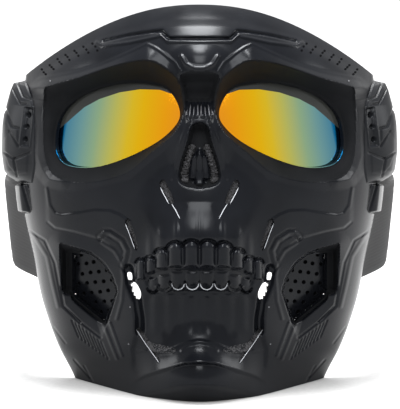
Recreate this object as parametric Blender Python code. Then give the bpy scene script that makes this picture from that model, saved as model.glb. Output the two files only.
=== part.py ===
"""A hard skull face mask with a mirrored goggle lens, perforated cheeks and an elastic head strap.

Everything is first placed in the sight frame: x to the side, depth away from the viewer and
height up the face. An empty then leans that frame back, so that the lower rim stands on z = 0.
Tables hold shares: x of HALF_WIDTH, height of MASK_HEIGHT and depth of SHELL_DEPTH.
"""

import math

import bmesh
import bpy
import numpy as np

# Driving sizes, in metres
MASK_HEIGHT = 0.238
HALF_WIDTH = 0.108
SHELL_DEPTH = 0.100
WALL = 0.0026
FIT_GAP = 0.0004
LEAN = math.radians(9.0)

LENS_RADIUS = 0.125
LENS_THICKNESS = 0.0020
LENS_BOW_RADIUS = 0.220
LENS_TILT = math.tan(math.radians(4.0))

TEMPLE_THICKNESS = 0.0105
CLIP_THICKNESS = 0.0042
GRILLE_THICKNESS = 0.0012
GRILLE_HOLE_RADIUS = 0.0010
GRILLE_PITCH = 0.0053
GRILLE_MARGIN = 1.12
FILTER_THICKNESS = 0.0030
VENT_HOLE_RADIUS = 0.0012

STRAP_WIDTH = 0.050
STRAP_THICKNESS = 0.0020
STRAP_LEVEL = 0.062
STRAP_BULGE = 0.1150
STRAP_BULGE_BACK = 0.150
STRAP_BACK = 0.212
STRAP_INSET = WALL + 2 * FIT_GAP
ANCHOR_THICKNESS = 0.0020

# The shell's plan at each level: a quarter curve from the middle (front) to the rear edge,
# whose two handles say how blunt the face is and how straight the side runs.
LEVEL_COLUMNS = ("height", "half_width", "front", "rear", "nose_handle", "side_handle")
LEVELS = (
    (-0.025, 0.657, 0.08, 0.90, 0.34, 0.04),
    (0.059, 0.694, 0.02, 0.91, 0.36, 0.06),
    (0.134, 0.778, 0.00, 0.90, 0.40, 0.20),
    (0.256, 0.875, -0.04, 0.88, 0.46, 0.38),
    (0.370, 0.926, -0.09, 0.84, 0.50, 0.50),
    (0.492, 0.981, -0.16, 0.80, 0.55, 0.55),
    (0.630, 1.000, -0.21, 0.77, 0.56, 0.58),
    (0.735, 0.991, -0.25, 0.75, 0.56, 0.58),
    (0.840, 0.963, -0.28, 0.73, 0.56, 0.56),
    (1.008, 0.898, -0.29, 0.70, 0.56, 0.56),
)
RIM_DROP = 0.182
RIM_POWER = 2.15
CROWN_SETBACK = 0.24
CROWN_REACH = 0.135
RIM_MARGIN = 0.025

# How the grid of the shell is spread: share of the steps, share of the way
ROW_STEPS = 37
ROW_SPREAD = ((0.0, 0.0), (0.24, 0.28), (0.45, 0.42), (0.60, 0.58), (0.88, 0.86), (1.0, 1.0))
SIDE_STEPS = 20
SIDE_SPREAD = ((0.0, 0.0), (0.34, 0.27), (1.0, 1.0))
# How far the wall's direction follows the worked face rather than the bare skin
FACE_SHARE = 0.7

# Swells of the face: x, height, x reach, height reach, rise towards the viewer
SWELLS = {
    "muzzle": (0.0, 0.42, 0.43, 0.20, 0.09),
    "chin": (0.0, 0.09, 0.37, 0.12, 0.07),
    "cheek_hollow": (0.57, 0.30, 0.26, 0.22, -0.06),
    "nose_bone": (0.0, 0.66, 0.20, 0.11, 0.08),
    "glabella": (0.0, 0.84, 0.19, 0.07, 0.05),
    "nasion": (0.0, 0.765, 0.11, 0.065, -0.09),
    "nose_hollow": (0.0, 0.600, 0.155, 0.115, -0.16),
    "chin_boss": (0.0, 0.13, 0.12, 0.035, 0.03),
}
# Ridges and channels: reach, rise, then the line's points
RIDGES = {
    "brow": (
        0.085, 0.055,
        ((0.86, 0.795), (0.66, 0.825), (0.44, 0.862), (0.29, 0.875), (0.19, 0.855), (0.11, 0.81)),
    ),
    "cheekbone": (
        0.10, 0.05,
        ((0.84, 0.50), (0.76, 0.471), (0.58, 0.481), (0.44, 0.468), (0.36, 0.44)),
    ),
    "jaw_channel": (
        0.055, -0.05,
        ((0.385, 0.383), (0.38, 0.32), (0.34, 0.256), (0.32, 0.19), (0.275, 0.156)),
    ),
    "bite": (0.05, -0.04, ((0.0, 0.338), (0.2, 0.333), (0.34, 0.315))),
}
# Teeth: x, half width, top, bottom
TEETH = (
    (0.047, 0.044, 0.408, 0.345),
    (0.139, 0.044, 0.403, 0.342),
    (0.219, 0.036, 0.388, 0.336),
    (0.278, 0.028, 0.363, 0.325),
    (0.042, 0.040, 0.330, 0.284),
    (0.122, 0.040, 0.328, 0.280),
    (0.197, 0.034, 0.320, 0.274),
)
TOOTH_RISE = 0.045

# Outlines of the left half, seen from the front: x, height
SOCKET_RIM = (
    (0.853, 0.791), (0.664, 0.816), (0.442, 0.849), (0.286, 0.859), (0.192, 0.839),
    (0.114, 0.806), (0.086, 0.751), (0.131, 0.685), (0.264, 0.630), (0.408, 0.579),
    (0.608, 0.557), (0.775, 0.567), (0.858, 0.615), (0.875, 0.705),
)
EYE_HOLE = (
    (0.797, 0.645), (0.775, 0.715), (0.692, 0.761), (0.553, 0.791), (0.386, 0.804),
    (0.219, 0.796), (0.147, 0.773), (0.108, 0.730), (0.136, 0.695), (0.247, 0.652),
    (0.442, 0.610), (0.608, 0.592), (0.747, 0.602),
)
NOSTRIL = (
    (0.018, 0.625), (0.048, 0.635), (0.070, 0.605), (0.090, 0.572), (0.070, 0.552), (0.022, 0.552),
)
WINDOW_RIM = (
    (0.775, 0.400), (0.675, 0.390), (0.597, 0.378), (0.531, 0.355), (0.481, 0.322),
    (0.453, 0.282), (0.481, 0.242), (0.514, 0.196), (0.542, 0.161), (0.664, 0.202),
    (0.758, 0.242), (0.775, 0.282),
)
WINDOW = (
    (0.708, 0.378), (0.608, 0.372), (0.540, 0.350), (0.492, 0.318), (0.464, 0.282),
    (0.492, 0.244), (0.528, 0.204), (0.692, 0.264), (0.708, 0.282),
)
SLOTS = {
    "nose_slot": ((0.208, 0.559), (0.219, 0.555), (0.175, 0.505), (0.150, 0.505)),
    "cheek_slot": ((0.408, 0.464), (0.392, 0.466), (0.345, 0.392), (0.362, 0.388)),
    "jaw_slot": ((0.353, 0.186), (0.335, 0.189), (0.215, 0.108), (0.228, 0.103)),
    "upper_gap": ((0.401, 0.328), (0.375, 0.328), (0.372, 0.308), (0.392, 0.308)),
    "lower_gap": ((0.386, 0.302), (0.358, 0.302), (0.325, 0.266), (0.350, 0.262)),
}
WINDOW_DEPTH = 0.12
SOCKET_WALL = 1.5
SEAT_BAND = 0.003
LENS_REST = -0.045
LENS_MIDDLE = 0.70
LENS_EDGE = (
    (0.0, 0.700), (0.100, 0.690), (0.150, 0.660), (0.235, 0.620), (0.42, 0.578), (0.61, 0.562),
    (0.77, 0.575), (0.828, 0.64), (0.81, 0.725), (0.715, 0.785), (0.56, 0.818), (0.386, 0.830),
    (0.20, 0.824), (0.09, 0.800), (0.0, 0.795),
)
TEMPLE_SPAN = {"turn": (0.80, 1.06), "height": (0.560, 0.800)}
CLIP_SPAN = {"turn": (0.86, 0.985), "height": (0.478, 0.550)}
NOSE_FILTER_SPAN = {"turn": (-0.125, 0.125), "height": (0.50, 0.655)}
CHEEK_FILTER_SPAN = {"turn": (0.20, 0.36), "height": (0.375, 0.485)}
JAW_FILTER_SPAN = {"turn": (0.145, 0.34), "height": (0.085, 0.21)}
GRILLE_SPAN = {"turn": (0.33, 0.78), "height": (0.160, 0.420)}

COLLECTION = "skull_mask"
CUTTERS = "cutters"


def material(name, colour, roughness, metallic=0.0):
    """One Principled material in each finish, made once."""
    found = bpy.data.materials.get(name)
    if found:
        return found
    made = bpy.data.materials.new(name)
    made.use_nodes = True
    shader = made.node_tree.nodes["Principled BSDF"]
    shader.inputs["Base Color"].default_value = (*colour, 1.0)
    shader.inputs["Roughness"].default_value = roughness
    shader.inputs["Metallic"].default_value = metallic
    return made


def black_plastic():
    return material("black_plastic", (0.018, 0.019, 0.021), 0.38)


def mirror_lens():
    return material("mirror_lens", (0.85, 0.55, 0.12), 0.08, 0.9)


def black_webbing():
    return material("black_webbing", (0.010, 0.010, 0.011), 0.9)


def filter_foam():
    return material("filter_foam", (0.035, 0.035, 0.036), 0.95)


def glide(places, values, at):
    """A smooth curve through a table's values."""
    places, values = np.array(places), np.array(values)
    slopes = np.gradient(values, places)
    i = np.clip(np.searchsorted(places, at) - 1, 0, len(places) - 2)
    step = places[i + 1] - places[i]
    u = (at - places[i]) / step
    rise = values[i + 1] - values[i]
    start, end = slopes[i] * step, slopes[i + 1] * step
    return values[i] + u * start + u**2 * (3 * rise - 2 * start - end) + u**3 * (start + end - 2 * rise)


def level_columns(height):
    """The named columns of LEVELS at any height share."""
    table = np.array(LEVELS)
    return {
        name: glide(table[:, 0], table[:, i], height)
        for i, name in enumerate(LEVEL_COLUMNS)
        if i
    }


def skin(turn, height):
    """The bare shell without its face: x, depth and the inward direction, by turn and height share.

    turn runs from 0 in the middle to 1 at the rear edge, and past 1 straight back.
    """
    turn, height = np.broadcast_arrays(np.asarray(turn, float), np.asarray(height, float))
    side = np.where(turn < 0, -1.0, 1.0)
    t = np.clip(np.abs(turn), 0, 1)
    level = level_columns(height)
    half = level["half_width"] * HALF_WIDTH
    front, rear = level["front"] * SHELL_DEPTH, level["rear"] * SHELL_DEPTH
    nose, flank = level["nose_handle"], level["side_handle"]
    early, late, last = 3 * (1 - t) ** 2 * t, 3 * (1 - t) * t**2, t**3
    x = half * (early * nose + late + last)
    depth = front + (rear - front) * (late * (1 - flank) + last + np.maximum(np.abs(turn) - 1, 0))
    along_x = half * (3 * (1 - t) ** 2 * nose + 6 * (1 - t) * t * (1 - nose))
    along_depth = (rear - front) * (6 * (1 - t) * t * (1 - flank) + 3 * t**2 * flank)
    length = np.hypot(along_x, along_depth)
    return side * x, depth, -side * along_depth / length, along_x / length


def outline(points, steps=6, straight=False):
    """A closed polygon through the points, in metres: round by default."""
    p = np.array(points) * (HALF_WIDTH, MASK_HEIGHT)
    if straight:
        return p
    before, after = np.roll(p, 1, axis=0), np.roll(p, -1, axis=0)
    beyond = np.roll(p, -2, axis=0)
    found = []
    for u in np.arange(steps) / steps:
        found.append(
            0.5 * (2 * p + (after - before) * u + (2 * before - 5 * p + 4 * after - beyond) * u**2)
            + 0.5 * (3 * p - before - 3 * after + beyond) * u**3
        )
    return np.stack(found, axis=1).reshape(-1, 2)


def half_outline(points, steps=6):
    """The same for an outline that crosses the middle, given by its left half."""
    whole = list(points) + [(-x, h) for x, h in points[-2:0:-1]]
    return outline(whole, steps)


def reach(x, height, polygon, closed=True):
    """Distance of each point to the polygon's line, and whether it lies inside."""
    ends = np.roll(polygon, -1, axis=0) if closed else polygon[1:]
    nearest = np.full(x.shape, np.inf)
    inside = np.zeros(x.shape, bool)
    for (ax, ah), (bx, bh) in zip(polygon, ends):
        run, climb = bx - ax, bh - ah
        share = np.clip(((x - ax) * run + (height - ah) * climb) / (run**2 + climb**2), 0, 1)
        nearest = np.minimum(nearest, np.hypot(x - ax - share * run, height - ah - share * climb))
        crosses = (ah > height) != (bh > height)
        level = np.divide(height - ah, climb, out=np.zeros(x.shape), where=crosses)
        inside ^= crosses & (x < ax + level * run)
    return nearest, inside


def pocket(x, height, rim, floor):
    """1 inside the floor's outline, 0 outside the rim, and an even wall between them."""
    to_rim, in_rim = reach(x, height, rim)
    to_floor, in_floor = reach(x, height, floor)
    wall = to_rim / (to_rim + to_floor + 1e-9)
    return np.where(in_floor, 1.0, np.where(in_rim, wall, 0.0))


def fade(distance, width):
    """1 at no distance, 0 from width on, round at both ends."""
    return np.clip(1 - (distance / width) ** 2, 0, 1) ** 2


def lens_depth(x, height):
    """Depth of the lens's front face: an upright cylinder, bowed and tilted a little."""
    up = height - LENS_MIDDLE * MASK_HEIGHT
    across = LENS_RADIUS - np.sqrt(LENS_RADIUS**2 - np.minimum(np.abs(x), 0.95 * LENS_RADIUS) ** 2)
    return LENS_REST * SHELL_DEPTH + across + up**2 / (2 * LENS_BOW_RADIUS) + LENS_TILT * up


def lens_seat(x, height):
    """Depth of the shell's outer face where the lens lies behind it."""
    facing = np.sqrt(1 - np.minimum(np.abs(x) / LENS_RADIUS, 0.95) ** 2)
    return lens_depth(x, height) - (WALL + FIT_GAP) / facing


def swollen(x, height, depth):
    """The depth with the broad forms of the face worked in."""
    side = np.abs(x)
    for at_x, at_height, wide, tall, rise in SWELLS.values():
        far = np.hypot(
            (side - at_x * HALF_WIDTH) / (wide * HALF_WIDTH),
            (height - at_height * MASK_HEIGHT) / (tall * MASK_HEIGHT),
        )
        depth = depth - rise * SHELL_DEPTH * fade(far, 1.0)
    return depth


def worked(x, height, depth):
    """The depth with swells, ridges and pockets worked in, but no teeth."""
    side = np.abs(x)
    depth = swollen(x, height, depth)
    for width, rise, points in RIDGES.values():
        line = np.array(points) * (HALF_WIDTH, MASK_HEIGHT)
        far = reach(side, height, line, closed=False)[0]
        depth = depth - rise * SHELL_DEPTH * fade(far, width * HALF_WIDTH)
    window = pocket(side, height, outline(WINDOW_RIM), outline(WINDOW))
    depth = depth + WINDOW_DEPTH * SHELL_DEPTH * window
    socket = pocket(side, height, outline(SOCKET_RIM), outline(EYE_HOLE))
    sunk = np.maximum(lens_seat(x, height), depth) - depth
    return depth + sunk * np.minimum(socket * SOCKET_WALL, 1)


def seated(x, height, depth, bare):
    """Brings the wall around each opening onto the piece that lies behind it."""
    side = np.abs(x)
    window_gap, in_window = reach(side, height, outline(WINDOW))
    on_window = in_window | (window_gap < SEAT_BAND)
    depth = np.where(on_window, swollen(x, height, bare) + WINDOW_DEPTH * SHELL_DEPTH, depth)
    eye_gap, in_eye = reach(side, height, outline(EYE_HOLE))
    return np.where(in_eye | (eye_gap < SEAT_BAND), lens_seat(x, height), depth)


def tooth_rise(x, height):
    """How far the teeth stand out."""
    rise = 0 * x
    for at_x, half, top, bottom in TEETH:
        across = fade(np.abs(x) - at_x * HALF_WIDTH, half * HALF_WIDTH * 1.15)
        middle, tall = (top + bottom) / 2 * MASK_HEIGHT, (top - bottom) * MASK_HEIGHT
        rise = rise + TOOTH_RISE * SHELL_DEPTH * across * fade(height - middle, tall * 0.62)
    return rise


def clear_of_lens(x, height, depth):
    """Keeps the wall in front of the lens wherever the lens lies behind it."""
    over_lens = reach(x, height, half_outline(LENS_EDGE))[1]
    return np.where(over_lens, np.minimum(depth, lens_seat(x, height)), depth)


def softened(values):
    """One pass of an even blur along both directions of a grid."""
    for axis in (0, 1):
        padded = np.pad(values, [(1, 1) if a == axis else (0, 0) for a in (0, 1)], mode="edge")
        before, after = np.delete(padded, (-1, -2), axis), np.delete(padded, (0, 1), axis)
        values = (before + 2 * values + after) / 4
    return values


def spread(steps, table):
    """Grid places from 0 to 1, closer together where the table says so."""
    share = np.arange(steps + 1) / steps
    return np.interp(share, *zip(*table))


def shell_grid():
    """Points of the outer skin by row and column, and the inward direction at each."""
    right = spread(SIDE_STEPS, SIDE_SPREAD)
    turns = np.concatenate((-right[:0:-1], right))
    rows = spread(ROW_STEPS, ROW_SPREAD)[:, None]
    foot_x, foot_depth, _, _ = skin(turns, 0.02)
    low = foot_depth / MASK_HEIGHT * math.tan(LEAN) - RIM_MARGIN
    top_x = skin(turns, 0.84)[0] / HALF_WIDTH
    high = 1 - RIM_DROP * np.abs(top_x / LEVELS[-2][1]) ** RIM_POWER
    shares = low + (high - low) * rows
    x, depth, inward_x, inward_depth = skin(turns + 0 * rows, shares)
    crown = np.clip(1 - (high - shares) / CROWN_REACH, 0, 1) ** 2 * (1 - np.abs(turns) ** 3)
    depth = depth + CROWN_SETBACK * SHELL_DEPTH * crown
    height = shares * MASK_HEIGHT
    bare = depth
    depth = seated(x, height, bare + softened(worked(x, height, bare) - bare), bare)
    depth = clear_of_lens(x, height, depth - tooth_rise(x, height))
    points = np.stack((x, depth, height), axis=-1)
    plain = np.stack((inward_x, inward_depth, 0 * inward_x), axis=-1)
    return turns, shares, points, wall_direction(points, plain)


def wall_direction(points, plain):
    """Inward direction of the wall: mostly square to the worked face, partly to the bare skin."""
    along, up = np.gradient(points, axis=1), np.gradient(points, axis=0)
    square = np.cross(up, along)
    square /= np.linalg.norm(square, axis=-1, keepdims=True)
    square *= np.sign(np.sum(square * plain, axis=-1, keepdims=True))
    mixed = FACE_SHARE * square + (1 - FACE_SHARE) * plain
    return mixed / np.linalg.norm(mixed, axis=-1, keepdims=True)


def link(obj, collection, finish=None):
    """Puts an object in a collection, with its material."""
    bpy.data.collections[collection].objects.link(obj)
    if finish:
        obj.data.materials.append(finish)
    return obj


def face_out(mesh):
    """Welds a closed mesh and turns all of its faces outwards."""
    work = bmesh.new()
    work.from_mesh(mesh)
    bmesh.ops.remove_doubles(work, verts=work.verts, dist=1e-6)
    bmesh.ops.recalc_face_normals(work, faces=work.faces)
    if work.calc_volume(signed=True) < 0:
        bmesh.ops.reverse_faces(work, faces=work.faces)
    work.to_mesh(mesh)
    work.free()


def slab(name, outside, inside, collection=COLLECTION, finish=None):
    """A closed solid between two grids of points, split alike on both faces."""
    rows, columns = outside.shape[:2]
    count = rows * columns
    points = np.concatenate((outside.reshape(-1, 3), inside.reshape(-1, 3)))
    number = np.arange(count).reshape(rows, columns)
    faces = []
    for r in range(rows - 1):
        for c in range(columns - 1):
            ring = (number[r, c], number[r, c + 1], number[r + 1, c + 1], number[r + 1, c])
            spans = [np.linalg.norm(points[ring[k]] - points[ring[k + 2]]) for k in (0, 1)]
            k = int(spans[1] < spans[0])
            for corner in ((ring[k], ring[k + 1], ring[k + 2]), (ring[k], ring[k + 2], ring[k - 1])):
                faces.append(corner)
                faces.append(tuple(n + count for n in reversed(corner)))
    edge = [*number[0, :-1], *number[:-1, -1], *number[-1, :0:-1], *number[:0:-1, 0]]
    for this, following in zip(edge, edge[1:] + edge[:1]):
        faces.append((following, this, this + count, following + count))
    mesh = bpy.data.meshes.new(name)
    mesh.from_pydata([tuple(p) for p in points], [], [tuple(map(int, f)) for f in faces])
    face_out(mesh)
    return link(bpy.data.objects.new(name, mesh), collection, finish)


def prism(name, polygons, near, far, collection=CUTTERS, finish=None):
    """Outlines in x and height, extruded along the depth from near to far; inner ones are holes."""
    curve = bpy.data.curves.new(name, "CURVE")
    curve.dimensions = "2D"
    curve.fill_mode = "BOTH"
    curve.extrude = (far - near) / 2
    for polygon in polygons:
        spline = curve.splines.new("POLY")
        spline.points.add(len(polygon) - 1)
        for point, (x, height) in zip(spline.points, polygon):
            point.co = (x, height, 0, 1)
        spline.use_cyclic_u = True
    drawn = bpy.data.objects.new(name, curve)
    bpy.context.scene.collection.objects.link(drawn)
    drawn.rotation_euler.x = math.pi / 2
    drawn.location.y = (near + far) / 2
    bpy.context.view_layer.update()
    graph = bpy.context.evaluated_depsgraph_get()
    mesh = bpy.data.meshes.new_from_object(drawn.evaluated_get(graph))
    mesh.transform(drawn.matrix_world)
    bpy.data.objects.remove(drawn)
    face_out(mesh)
    return as_cutter(link(bpy.data.objects.new(name, mesh), collection, finish))


def as_cutter(obj):
    """Hides a helper from the build if it is in the cutters' collection."""
    if obj.name in bpy.data.collections[CUTTERS].objects:
        obj.hide_render = True
        obj.display_type = "WIRE"
    return obj


def boolean(obj, cutter, operation="DIFFERENCE"):
    """One exact Boolean with a mesh object or with a collection of them."""
    modifier = obj.modifiers.new(operation.lower(), "BOOLEAN")
    modifier.operation = operation
    modifier.solver = "EXACT"
    if isinstance(cutter, bpy.types.Collection):
        modifier.operand_type = "COLLECTION"
        modifier.collection = cutter
    else:
        modifier.object = cutter


def mirrored(polygon):
    return polygon * (-1, 1)


def new_collection(name):
    made = bpy.data.collections.new(name)
    bpy.context.scene.collection.children.link(made)
    return made


def depth_span():
    """A near and a far depth that clear the whole shell."""
    return -0.9 * SHELL_DEPTH, 1.4 * SHELL_DEPTH


def make_shell(grid):
    """The one-piece face: a wall of even thickness, pierced at the eyes, nose, cheeks and jaw."""
    _, _, points, inward = grid
    shell = slab("mask_shell", points, points + WALL * inward, finish=black_plastic())
    holes = new_collection("shell_holes")
    near, far = depth_span()
    outlines = {"eye_hole": outline(EYE_HOLE, 3), "nostril": outline(NOSTRIL, 2)}
    outlines["window"] = outline(WINDOW, 2)
    for name, points in SLOTS.items():
        outlines[name] = outline(points, straight=True)
    for name, polygon in outlines.items():
        for side, drawn in (("left", mirrored(polygon)), ("right", polygon)):
            cutter = prism(f"{name}_{side}", [drawn], near, far)
            holes.objects.link(cutter)
    boolean(shell, holes)
    return shell


def cut_flat(shell):
    """Trims the lower rim flat, so that the mask stands on it."""
    deep = 4 * RIM_MARGIN * MASK_HEIGHT
    mesh = bpy.data.meshes.new("floor_cutter")
    work = bmesh.new()
    bmesh.ops.create_cube(work, size=1)
    bmesh.ops.scale(work, vec=(4 * HALF_WIDTH, 6 * SHELL_DEPTH, deep), verts=work.verts)
    work.to_mesh(mesh)
    work.free()
    box = as_cutter(link(bpy.data.objects.new("floor_cutter", mesh), CUTTERS))
    box.location = (0, SHELL_DEPTH / 2, -deep / 2)
    boolean(shell, box)


def make_lens():
    """One mirrored sheet behind both eyes, notched over the nose."""
    reach_x = 1.06 * max(x for x, _ in LENS_EDGE) * HALF_WIDTH
    low = (min(h for _, h in LENS_EDGE) - 0.02) * MASK_HEIGHT
    high = (max(h for _, h in LENS_EDGE) + 0.02) * MASK_HEIGHT
    x, height = np.meshgrid(np.linspace(-reach_x, reach_x, 21), np.linspace(low, high, 6))
    front = np.stack((x, lens_depth(x, height), height), axis=-1)
    facing = np.sqrt(1 - (x / LENS_RADIUS) ** 2)
    back = front + LENS_THICKNESS * np.stack((-x / LENS_RADIUS, facing, 0 * x), axis=-1)
    lens = slab("goggle_lens", front, back, finish=mirror_lens())
    near, far = depth_span()
    boolean(lens, prism("lens_edge", [half_outline(LENS_EDGE, 2)], near, far), "INTERSECT")
    return lens


def between(places, span):
    """Slice of the grid lines nearest to a span's two ends."""
    first, last = (int(np.argmin(np.abs(places - end))) for end in span)
    return slice(min(first, last), max(first, last) + 1)


def lining(name, grid, span, start, thickness, finish):
    """A plate that follows the shell's inner face, start metres behind it."""
    turns, shares, points, inward = grid
    columns = between(turns, span["turn"])
    middle = (columns.start + columns.stop) // 2
    rows = between(shares[:, middle], span["height"])
    surface, way = points[rows, columns], inward[rows, columns]
    near = WALL + start
    return slab(name, surface + near * way, surface + (near + thickness) * way, finish=finish)


def flipped(span):
    """The same span on the other side."""
    return {"turn": tuple(-t for t in reversed(span["turn"])), "height": span["height"]}


def make_filters(grid):
    """Foam sheets behind the nose, the cheek slots and the jaw slots."""
    made = [lining("nose_filter", grid, NOSE_FILTER_SPAN, FIT_GAP, FILTER_THICKNESS, filter_foam())]
    for name, span in (("cheek_filter", CHEEK_FILTER_SPAN), ("jaw_filter", JAW_FILTER_SPAN)):
        for side, placed in (("left", flipped(span)), ("right", span)):
            label = f"{name}_{side}"
            made.append(lining(label, grid, placed, FIT_GAP, FILTER_THICKNESS, filter_foam()))
    return made


def grille_holes():
    """Staggered round holes that fit inside the window's outline."""
    edge = outline(WINDOW, 2)
    low, high = edge.min(axis=0), edge.max(axis=0)
    turn = np.linspace(0, 2 * math.pi, 7)[:-1]
    ring = GRILLE_HOLE_RADIUS * np.stack((np.cos(turn), np.sin(turn)), axis=-1)
    found = []
    row_pitch = GRILLE_PITCH * 0.98
    for row in range(1, int((high[1] - low[1]) / row_pitch)):
        for column in range(int((high[0] - low[0]) / GRILLE_PITCH) + 2):
            x = low[0] + (column + 0.5 * (row % 2)) * GRILLE_PITCH
            height = low[1] + row * row_pitch
            near_edge, inside = reach(np.array([x]), np.array([height]), edge)
            if inside[0] and near_edge[0] > 2 * GRILLE_HOLE_RADIUS:
                found.append(ring + (x, height))
    return found


def window_plate(name, span):
    """A plate behind one cheek window: the window's floor carried on behind the wall around it."""
    turn, share = np.meshgrid(np.linspace(*span["turn"], 5), np.linspace(*span["height"], 7))
    x, depth, inward_x, inward_depth = skin(turn, share)
    height = share * MASK_HEIGHT
    depth = swollen(x, height, depth) + WINDOW_DEPTH * SHELL_DEPTH
    floor = np.stack((x, depth, height), axis=-1)
    way = wall_direction(floor, np.stack((inward_x, inward_depth, 0 * inward_x), axis=-1))
    front = floor + (WALL + 2 * FIT_GAP) * way
    return slab(name, front, front + GRILLE_THICKNESS * way, finish=black_plastic())


def make_grilles():
    """Perforated plates behind the cheek windows."""
    near, far = depth_span()
    edge = outline(WINDOW, 2)
    middle = (edge.min(axis=0) + edge.max(axis=0)) / 2
    border = middle + (edge - middle) * GRILLE_MARGIN
    holes = grille_holes()
    made = []
    for side, sign in (("left", -1), ("right", 1)):
        span = GRILLE_SPAN if sign > 0 else flipped(GRILLE_SPAN)
        plate = window_plate(f"cheek_grille_{side}", span)
        shape = [p * (sign, 1) for p in (border, *holes)]
        boolean(plate, prism(f"grille_shape_{side}", shape, near, far), "INTERSECT")
        made.append(plate)
    return made


def pad_on_skin(name, span, steps, thickness, finish):
    """A pad on the shell's outer face. thickness gives its height from the shares across and up."""
    across, up = np.meshgrid(np.linspace(0, 1, steps[0]), np.linspace(0, 1, steps[1]))
    turn = span["turn"][0] + (span["turn"][1] - span["turn"][0]) * across
    height = span["height"][0] + (span["height"][1] - span["height"][0]) * up
    x, depth, inward_x, inward_depth = skin(turn, height)
    surface = np.stack((x, depth, height * MASK_HEIGHT), axis=-1)
    way = -np.stack((inward_x, inward_depth, 0 * inward_x), axis=-1)
    rise = thickness(across, up)[..., None]
    return slab(name, surface + (FIT_GAP + rise) * way, surface + FIT_GAP * way, finish=finish)


def temple_profile(across, up):
    """Thickest towards the rear and the middle, with sloped ends."""
    lengthwise = np.clip(np.minimum(up / 0.30, (1 - up) / 0.10), 0, 1)
    forward = np.clip(across / 0.45, 0, 1)
    return TEMPLE_THICKNESS * (0.25 + 0.75 * forward * lengthwise)


def clip_profile(across, up):
    return CLIP_THICKNESS * (0.4 + 0.6 * np.clip(4 * np.minimum(up, 1 - up), 0, 1))


def make_side_pieces():
    """The vented temple blocks and the strap clips below them."""
    near, far = depth_span()
    made = []
    for side, sign in (("left", -1), ("right", 1)):
        place = (lambda span: span) if sign > 0 else flipped
        block = pad_on_skin(
            f"temple_block_{side}", place(TEMPLE_SPAN), (7, 8),
            lambda across, up: temple_profile(across if sign > 0 else 1 - across, up),
            black_plastic(),
        )
        made.append(block)
        made.append(
            pad_on_skin(f"strap_clip_{side}", place(CLIP_SPAN), (5, 5), clip_profile, black_plastic())
        )
    return made


def sight_of(x, y, z):
    """A point given upright, in the leaning sight frame."""
    depth = y * math.cos(LEAN) - z * math.sin(LEAN)
    height = y * math.sin(LEAN) + z * math.cos(LEAN)
    return np.stack(np.broadcast_arrays(x, depth, height), axis=-1)


def wall_point(turn, z, inset):
    """A point inset from the skin at an upright height, and its upright depth."""
    height = np.full(np.shape(z), 0.35)
    for _ in range(6):
        x, depth, inward_x, inward_depth = skin(turn, height)
        height = (z + depth * math.sin(LEAN)) / math.cos(LEAN) / MASK_HEIGHT
    x, depth = x + inset * inward_x, depth + inset * inward_depth
    y = depth * math.cos(LEAN) + height * MASK_HEIGHT * math.sin(LEAN)
    return x, y


def strap_half(inset):
    """Points of the right half of the band, from its fixed end to the middle of the back."""
    levels = STRAP_LEVEL + STRAP_WIDTH * np.array((0.0, 0.5, 1.0))
    columns = []
    for turn in np.linspace(0.86, 1.0, 4):
        x, y = wall_point(turn, levels, inset)
        columns.append(sight_of(x, y, levels))
    edge_x, edge_y = wall_point(1.0, levels, inset)
    for share in np.linspace(0, 1, 8)[1:]:
        ease = share**2 * (3 - 2 * share)
        x = edge_x + (STRAP_BULGE - edge_x) * ease
        y = edge_y + (STRAP_BULGE_BACK - edge_y) * share
        columns.append(sight_of(x, y, levels))
    for angle in np.linspace(0, math.pi / 2, 12)[1:]:
        x = STRAP_BULGE * math.cos(angle) ** 0.85
        y = STRAP_BULGE_BACK + (STRAP_BACK - STRAP_BULGE_BACK) * math.sin(angle) ** 0.85
        columns.append(sight_of(x, y, levels))
    return np.stack(columns, axis=1)


def make_strap():
    """The elastic head band: both ends lie on the shell's inner face, the rest is a wide loop."""
    half = strap_half(STRAP_INSET)
    band = np.concatenate((half[:, :-1] * (-1, 1, 1), half[:, ::-1]), axis=1)
    along = np.gradient(band, axis=1)
    inward = np.stack((-along[..., 1], along[..., 0], 0 * along[..., 0]), axis=-1)
    inward /= -np.linalg.norm(inward, axis=-1, keepdims=True)
    return slab("head_strap", band, band + STRAP_THICKNESS * inward, finish=black_webbing())


def make_anchors():
    """Plain hidden plates that hold the strap's ends to the shell."""
    made = []
    levels = STRAP_LEVEL + STRAP_WIDTH * np.array((0.08, 0.5, 0.92))
    start = STRAP_INSET + STRAP_THICKNESS + 2 * FIT_GAP
    for side, sign in (("left", -1), ("right", 1)):
        sheets = []
        for inset in (start, start + ANCHOR_THICKNESS):
            columns = []
            for turn in (0.88, 0.91, 0.94):
                x, y = wall_point(turn, levels, inset)
                columns.append(sight_of(sign * x, y, levels))
            sheets.append(np.stack(columns, axis=1))
        made.append(slab(f"strap_anchor_{side}", *sheets, finish=black_plastic()))
    return made


def lean_back(pieces):
    """Leans every piece on its rim, and centres the whole over the origin."""
    frame = bpy.data.objects.new("sight_frame", None)
    bpy.context.scene.collection.objects.link(frame)
    frame.rotation_euler.x = -LEAN
    for piece in pieces:
        piece.parent = frame
    return frame


def centre_on_floor(frame, pieces):
    """Moves the frame so that the box of all pieces is centred over the origin."""
    bpy.context.view_layer.update()
    graph = bpy.context.evaluated_depsgraph_get()
    corners = []
    for piece in pieces:
        drawn = piece.evaluated_get(graph)
        mesh = drawn.to_mesh()
        corners += [drawn.matrix_world @ v.co for v in mesh.vertices]
        drawn.to_mesh_clear()
    corners = np.array(corners)
    middle = (corners.min(axis=0) + corners.max(axis=0)) / 2
    frame.location.y -= middle[1]


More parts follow.
